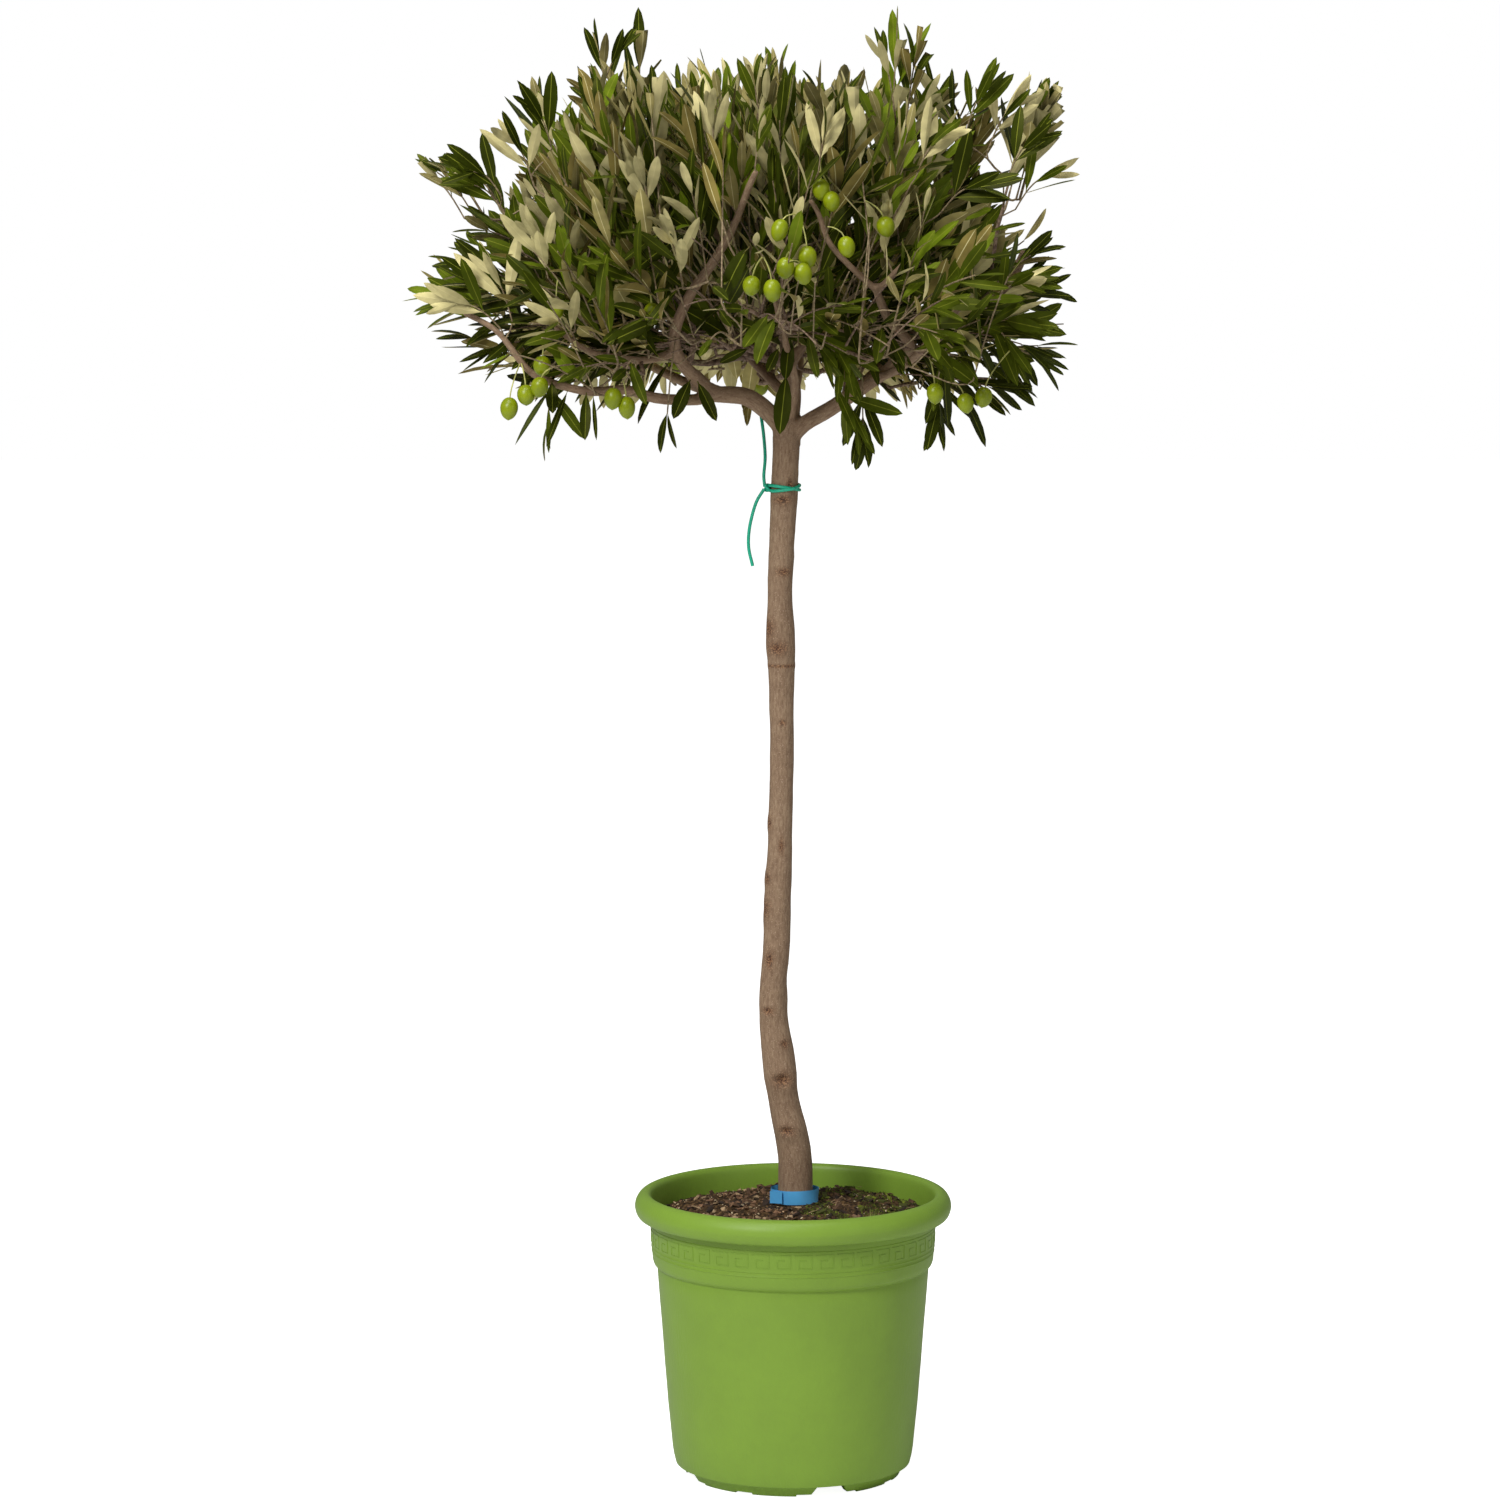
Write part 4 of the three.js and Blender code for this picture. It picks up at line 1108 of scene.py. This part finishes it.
shoots.sort(key=lambda shoot: shoot[2] is None)
leaf_count = 0
spray_count = len(SPRAYS)
for number, (run, name, spray) in enumerate(shoots):
    if number == spray_count:
        sights = sight_lines(shown)
    line = [wood_place[i] for i in run]
    lengths = [0.0]
    for a, b in zip(line, line[1:]):
        lengths.append(lengths[-1] + (b - a).length)
    total = lengths[-1]
    high = line[-1].z
    # Shoots high in the crown take the bright upper and silver under more often, and low ones the darker kinds: painted
    # light from above and painted shade below.
    upper = leaf_dice.choices(UPPERS, [4, 4, 2 if high > 1.1 else 0.5])[0]
    lower = leaf_dice.choices(UNDERS, [5, 4, 2] if high > 1.12 else [2, 3, 4])[0]
    quarter = leaf_dice.uniform(0, math.pi)
    gap = leaf_dice.uniform(0.0145, 0.0195)
    pairs, size = min(8, int(total / gap)), 0.058 * leaf_dice.uniform(0.82, 1.14)
    if spray:
        pairs, size, shows = spray[0], spray[1] * MM, spray[2]
        upper, lower, gap = leaf_dice.choice((0, 1, 1)), 3, 0.012
    kinds = [upper, RIB_UPPER, lower, RIB_UNDER]
    for k in range(pairs):
        at = total - 0.002 - gap * k
        seg = max(i for i, reached in enumerate(lengths[:-1]) if reached <= max(at, 0))
        t = (at - lengths[seg]) / max(1e-6, lengths[seg + 1] - lengths[seg])
        spot = line[seg].lerp(line[seg + 1], t)
        axis = (line[seg + 1] - line[seg]).normalized()
        across = axis.cross(Vector((0, -1, 0.2))).normalized() if spray else axis.orthogonal().normalized()
        spread = math.radians(SPREADS[k] + leaf_dice.gauss(0, 5)) * (1 - 0.35 * max(0, axis.z))
        for side in (0, math.pi):
            if not spray and leaf_dice.random() < 0.05 + 0.05 * k:
                continue
            turn = (0 if spray else quarter) + k * math.pi / 2 + side + leaf_dice.gauss(0, 0.16)
            out = Matrix.Rotation(turn, 3, axis) @ across
            way = (axis * math.cos(spread) + out * math.sin(spread)).normalized()
            way = (way - UP * (0.12 if high > 1.06 else 0.5) * leaf_dice.random()).normalized()
            if spray:
                face = FACES[shows] * (-1 if shows == "under" and leaf_dice.random() < 0.25 else 1)
            else:
                upright = max(0.0, min(1.0, 1.25 * axis.z - 0.1))
                level = UP * 0.65 + outward(spot) * 0.6 + Vector((0, math.copysign(0.4, spot.y - 0.1), 0))
                face = (axis - way * axis.dot(way)).normalized() * upright
                face += (level - way * level.dot(way)).normalized() * (1 - upright)
            face = (face + Vector(leaf_dice.gauss(0, 0.35 if spray else 0.2) for _ in range(3))).normalized()
            length = size * SIZES[k] * leaf_dice.uniform(0.85, 1.15)
            pattern = leaf_dice.choice(leaf_patterns[:10] if spray else leaf_patterns)
            tip = spot + way * length
            if spray:
                if in_the_way(spot, tip, sights):
                    continue
                shown += [(spot.lerp(tip, 0.35), 0.006), (spot.lerp(tip, 0.75), 0.006)]
            else:
                out_by = how_far_out(tip)
                over = 0.014 if tip.z > 1.22 else 0.006
                if out_by > over and tip.z > 1.2 and how_far_out(spot.lerp(tip, 0.6)) < over + 0.002:
                    pattern = leaf_dice.choice(cut_patterns)
                elif out_by > (over + 0.006 if high > 1.04 else 0.03):
                    continue
                if openness(spot.lerp(tip, 0.7))[0] > leaf_dice.uniform(0.0, 0.3):
                    continue
                if in_the_way(spot, tip, sights) or any(not low_limit[i] < tip[i] < high_limit[i] for i in range(3)):
                    continue
            put_leaf(name, spot, way, face, length, pattern, kinds)
            leaf_count += 1
print("shoots", len(shoots), "leaves", leaf_count)
print("stray", [[round(c, 3) for c in t[1]] + [t[2]] for t in tips if (t[1].x < -0.24 or t[1].x > 0.2) and t[1].z > 1.23])
for name, joined in foliage.items():
    if joined.count:
        add_piece("foliage_" + name.replace("leaves_", ""), joined.mesh("foliage_" + name), leaf_materials, "leaves",
                  name, crease=math.radians(75))

# ---- Tie --------------------------------------------------------------------------------------------
# Soft green plastic twine. Two turns are pulled tight round the stem below the fork, crossing each other,
# and knotted on the left. The two ends are left long.

TWINE = 1.5 * MM
TIE_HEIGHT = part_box("tie_loop")[0][2] / 2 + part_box("tie_loop")[1][2] / 2
stem_at_tie = min(stem_run, key=lambda p: abs(p.z - TIE_HEIGHT))
twine_turns = []
for strand in (-1, 1):
    ring = []
    for step in range(73):
        angle = math.radians(180 + step * 5)
        apart = math.sin(angle - math.radians(300))
        r = stem_at_tie.w + TWINE * (1 + (1.7 * (1 - abs(apart)) ** 3 if strand > 0 else 0))
        z = TIE_HEIGHT + strand * 2.4 * MM * apart
        ring.append((Vector((stem_at_tie.x + r * math.cos(angle), stem_at_tie.y + r * math.sin(angle), z)), TWINE))
    twine_turns.append(ring)
knot_at = Vector((stem_at_tie.x - stem_at_tie.w - 3.4 * MM, stem_at_tie.y - 1 * MM, TIE_HEIGHT))
knot = []
for step in range(33):
    a = step / 32 * 2 * math.pi
    loop = Vector((1.7 * math.sin(2 * a), 1.9 * math.cos(a) - 0.6 * math.cos(3 * a), 2.6 * math.sin(a)))
    knot.append((knot_at + loop * MM, TWINE * 0.9))
TAILS = {
    "tie_tail_up": [(-26.0, -1, 902), (-26.8, 2, 912), (-25.6, 4, 928), (-27, 8, 948), (-30, 13, 970)],
    "tie_tail_down": [(-26.5, -2, 900), (-34, -3, 887), (-39.5, -5, 866), (-40.4, -6, 848), (-36.8, -6, 831)],
}
tails = {node: [(p * MM, TWINE) for p in smooth_line(route, 8)] for node, route in TAILS.items()}

# Extruded plastic twine: an even blue green with a soft shine and fine ribs.
twine, tree, shader = new_material("plastic_twine_green", {"Roughness": 0.42})
where = add_node(tree, "ShaderNodeTexCoord")
fibres = add_node(tree, "ShaderNodeTexNoise", {"Scale": 1400.0, "Detail": 2.0}, {"Vector": where.outputs["Object"]})
tint = add_node(tree, "ShaderNodeValToRGB", {"stops": [(0.35, "#0d9e7b"), (0.65, "#18b892")]},
                {"Fac": fibres.outputs["Fac"]})
ribs = add_node(tree, "ShaderNodeBump", {"Strength": 0.15, "Distance": 0.0002}, {"Height": fibres.outputs["Fac"]})
tree.links.new(tint.outputs["Color"], shader.inputs["Base Color"])
tree.links.new(ribs.outputs["Normal"], shader.inputs["Normal"])
for name, strands, node in (("twine_turns", twine_turns, "tie_loop"), ("twine_knot", [knot], "tie_knot"),
                            ("twine_end_up", [tails["tie_tail_up"]], "tie_tail_up"),
                            ("twine_end_down", [tails["tie_tail_down"]], "tie_tail_down")):
    add_piece(name, mesh_from(rods(name, strands, 12), name), [twine], "twine", node, crease=math.radians(60))

# ---- Label band -------------------------------------------------------------------------------------
# A strip of stiff blue label tape, looped round the foot of the stem and stuck to itself on the left,
# where the end is folded over. Its print has been left off.

band_low, band_high = (Vector(c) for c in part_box("label_band"))
band_middle, band_half = (band_low + band_high) / 2, (band_high - band_low) / 2
band = bmesh.new()
ring = bmesh.ops.create_circle(band, segments=72, radius=1)["verts"]
edges = list(band.edges)
for v in ring:
    angle = math.atan2(v.co.y, v.co.x)
    dent = 1 - 0.05 * math.exp(-((abs(angle) - 2.35) / 0.2) ** 2)
    v.co = Vector((band_middle.x + v.co.x * (band_half.x - 0.0006) * dent,
                   band_middle.y + v.co.y * (band_half.y - 0.0006) * dent, band_low.z + 0.0002))
for k in range(4):
    made = bmesh.ops.extrude_edge_only(band, edges=edges)["geom"]
    new = [g for g in made if isinstance(g, bmesh.types.BMVert)]
    edges = [g for g in made if isinstance(g, bmesh.types.BMEdge)]
    for v in new:
        angle = math.atan2(v.co.y - band_middle.y, v.co.x - band_middle.x)
        v.co.z += 2 * band_half.z / 4 - 0.0001
        away = (v.co - band_middle)
        away.z = 0
        v.co += away.normalized() * 0.0003 * math.sin(3 * angle + k)
bmesh.ops.solidify(band, geom=band.faces, thickness=0.0005)
bmesh.ops.recalc_face_normals(band, faces=band.faces)
flap = bmesh.ops.create_cube(band, size=1)["verts"]
for v in flap:
    x, y, z = v.co
    v.co = Vector((band_middle.x - band_half.x * 0.74 + x * 0.011, band_middle.y - band_half.y * 0.74 + y * 0.0006 - x * 0.009,
                   band_middle.z + z * band_half.z * 1.7 + x * 0.0012))
label_tape = plain_material("label_tape_blue", "#58abe2", 0.3, spread=0.05, scale=40.0)
add_piece("label_tape", mesh_from(band, "label_tape"), [label_tape], "label", "label_band")

# ---- Floor, lights and camera -----------------------------------------------------------------------
# A flat white studio floor and backdrop, a wide soft key light from the left, a weaker one from the right,
# one from above, and a dim even sky.

floor_mesh = bpy.data.meshes.new("floor")
floor = bmesh.new()
bmesh.ops.create_grid(floor, x_segments=1, y_segments=1, size=14)
bmesh.ops.translate(floor, verts=floor.verts, vec=(0, 0, -0.0005))
floor.to_mesh(floor_mesh)
floor.free()
floor_piece = bpy.data.objects.new("floor", floor_mesh)
bpy.context.scene.collection.objects.link(floor_piece)
paper, tree, shader = new_material("studio_paper_white", {
    "Roughness": 0.9, "Specular IOR Level": 0.1, "Base Color": hex_colour("#f0f0ee")})
seen = add_node(tree, "ShaderNodeLightPath")
glow = add_node(tree, "ShaderNodeEmission", {"Strength": 0.95})
lit = add_node(tree, "ShaderNodeAddShader", None, {0: shader.outputs[0], 1: glow.outputs[0]})
faced = add_node(tree, "ShaderNodeMixShader", None, {0: seen.outputs["Is Camera Ray"], 1: shader.outputs[0],
                                                     2: lit.outputs[0]})
tree.links.new(faced.outputs[0], tree.nodes["Material Output"].inputs["Surface"])
floor_mesh.materials.append(paper)


def soft_light(name, place, aim, size, power):
    lamp = bpy.data.lights.new(name, "AREA")
    lamp.shape, lamp.size, lamp.energy = "DISK", size, power
    holder = bpy.data.objects.new(name, lamp)
    holder.location = place
    holder.rotation_euler = (Vector(aim) - Vector(place)).to_track_quat("-Z", "Y").to_euler()
    bpy.context.scene.collection.objects.link(holder)


soft_light("key", (-1.9, -2.9, 3.0), (0, 0, 0.8), 1.3, 116)
soft_light("fill", (2.8, -2.6, 1.5), (0, 0, 0.8), 2.2, 13)
soft_light("top", (-0.3, -0.9, 3.5), (0, 0, 0.7), 1.6, 50)
world = bpy.data.worlds.new("studio")
bpy.context.scene.world = world
world.use_nodes = True
tree = world.node_tree
tree.nodes.clear()
seen = add_node(tree, "ShaderNodeLightPath")
sky = add_node(tree, "ShaderNodeBackground", {"Color": hex_colour("#ffffff"), "Strength": 0.19})
backdrop = add_node(tree, "ShaderNodeBackground", {"Color": hex_colour("#ffffff"), "Strength": 1.0})
both = add_node(tree, "ShaderNodeMixShader", None, {0: seen.outputs["Is Camera Ray"], 1: sky.outputs[0],
                                                    2: backdrop.outputs[0]})
add_node(tree, "ShaderNodeOutputWorld", None, {"Surface": both.outputs[0]})
bpy.context.scene.view_settings.view_transform = "Standard"

camera = bpy.data.objects.new("camera", bpy.data.cameras.new("camera"))
camera.data.lens = 134.0
camera.data.sensor_width = 36.0
camera.location = (-0.0392, -5.0, 1.256)
camera.rotation_euler = (math.radians(90 - 6.752), 0, 0)
bpy.context.scene.collection.objects.link(camera)
bpy.context.scene.camera = camera
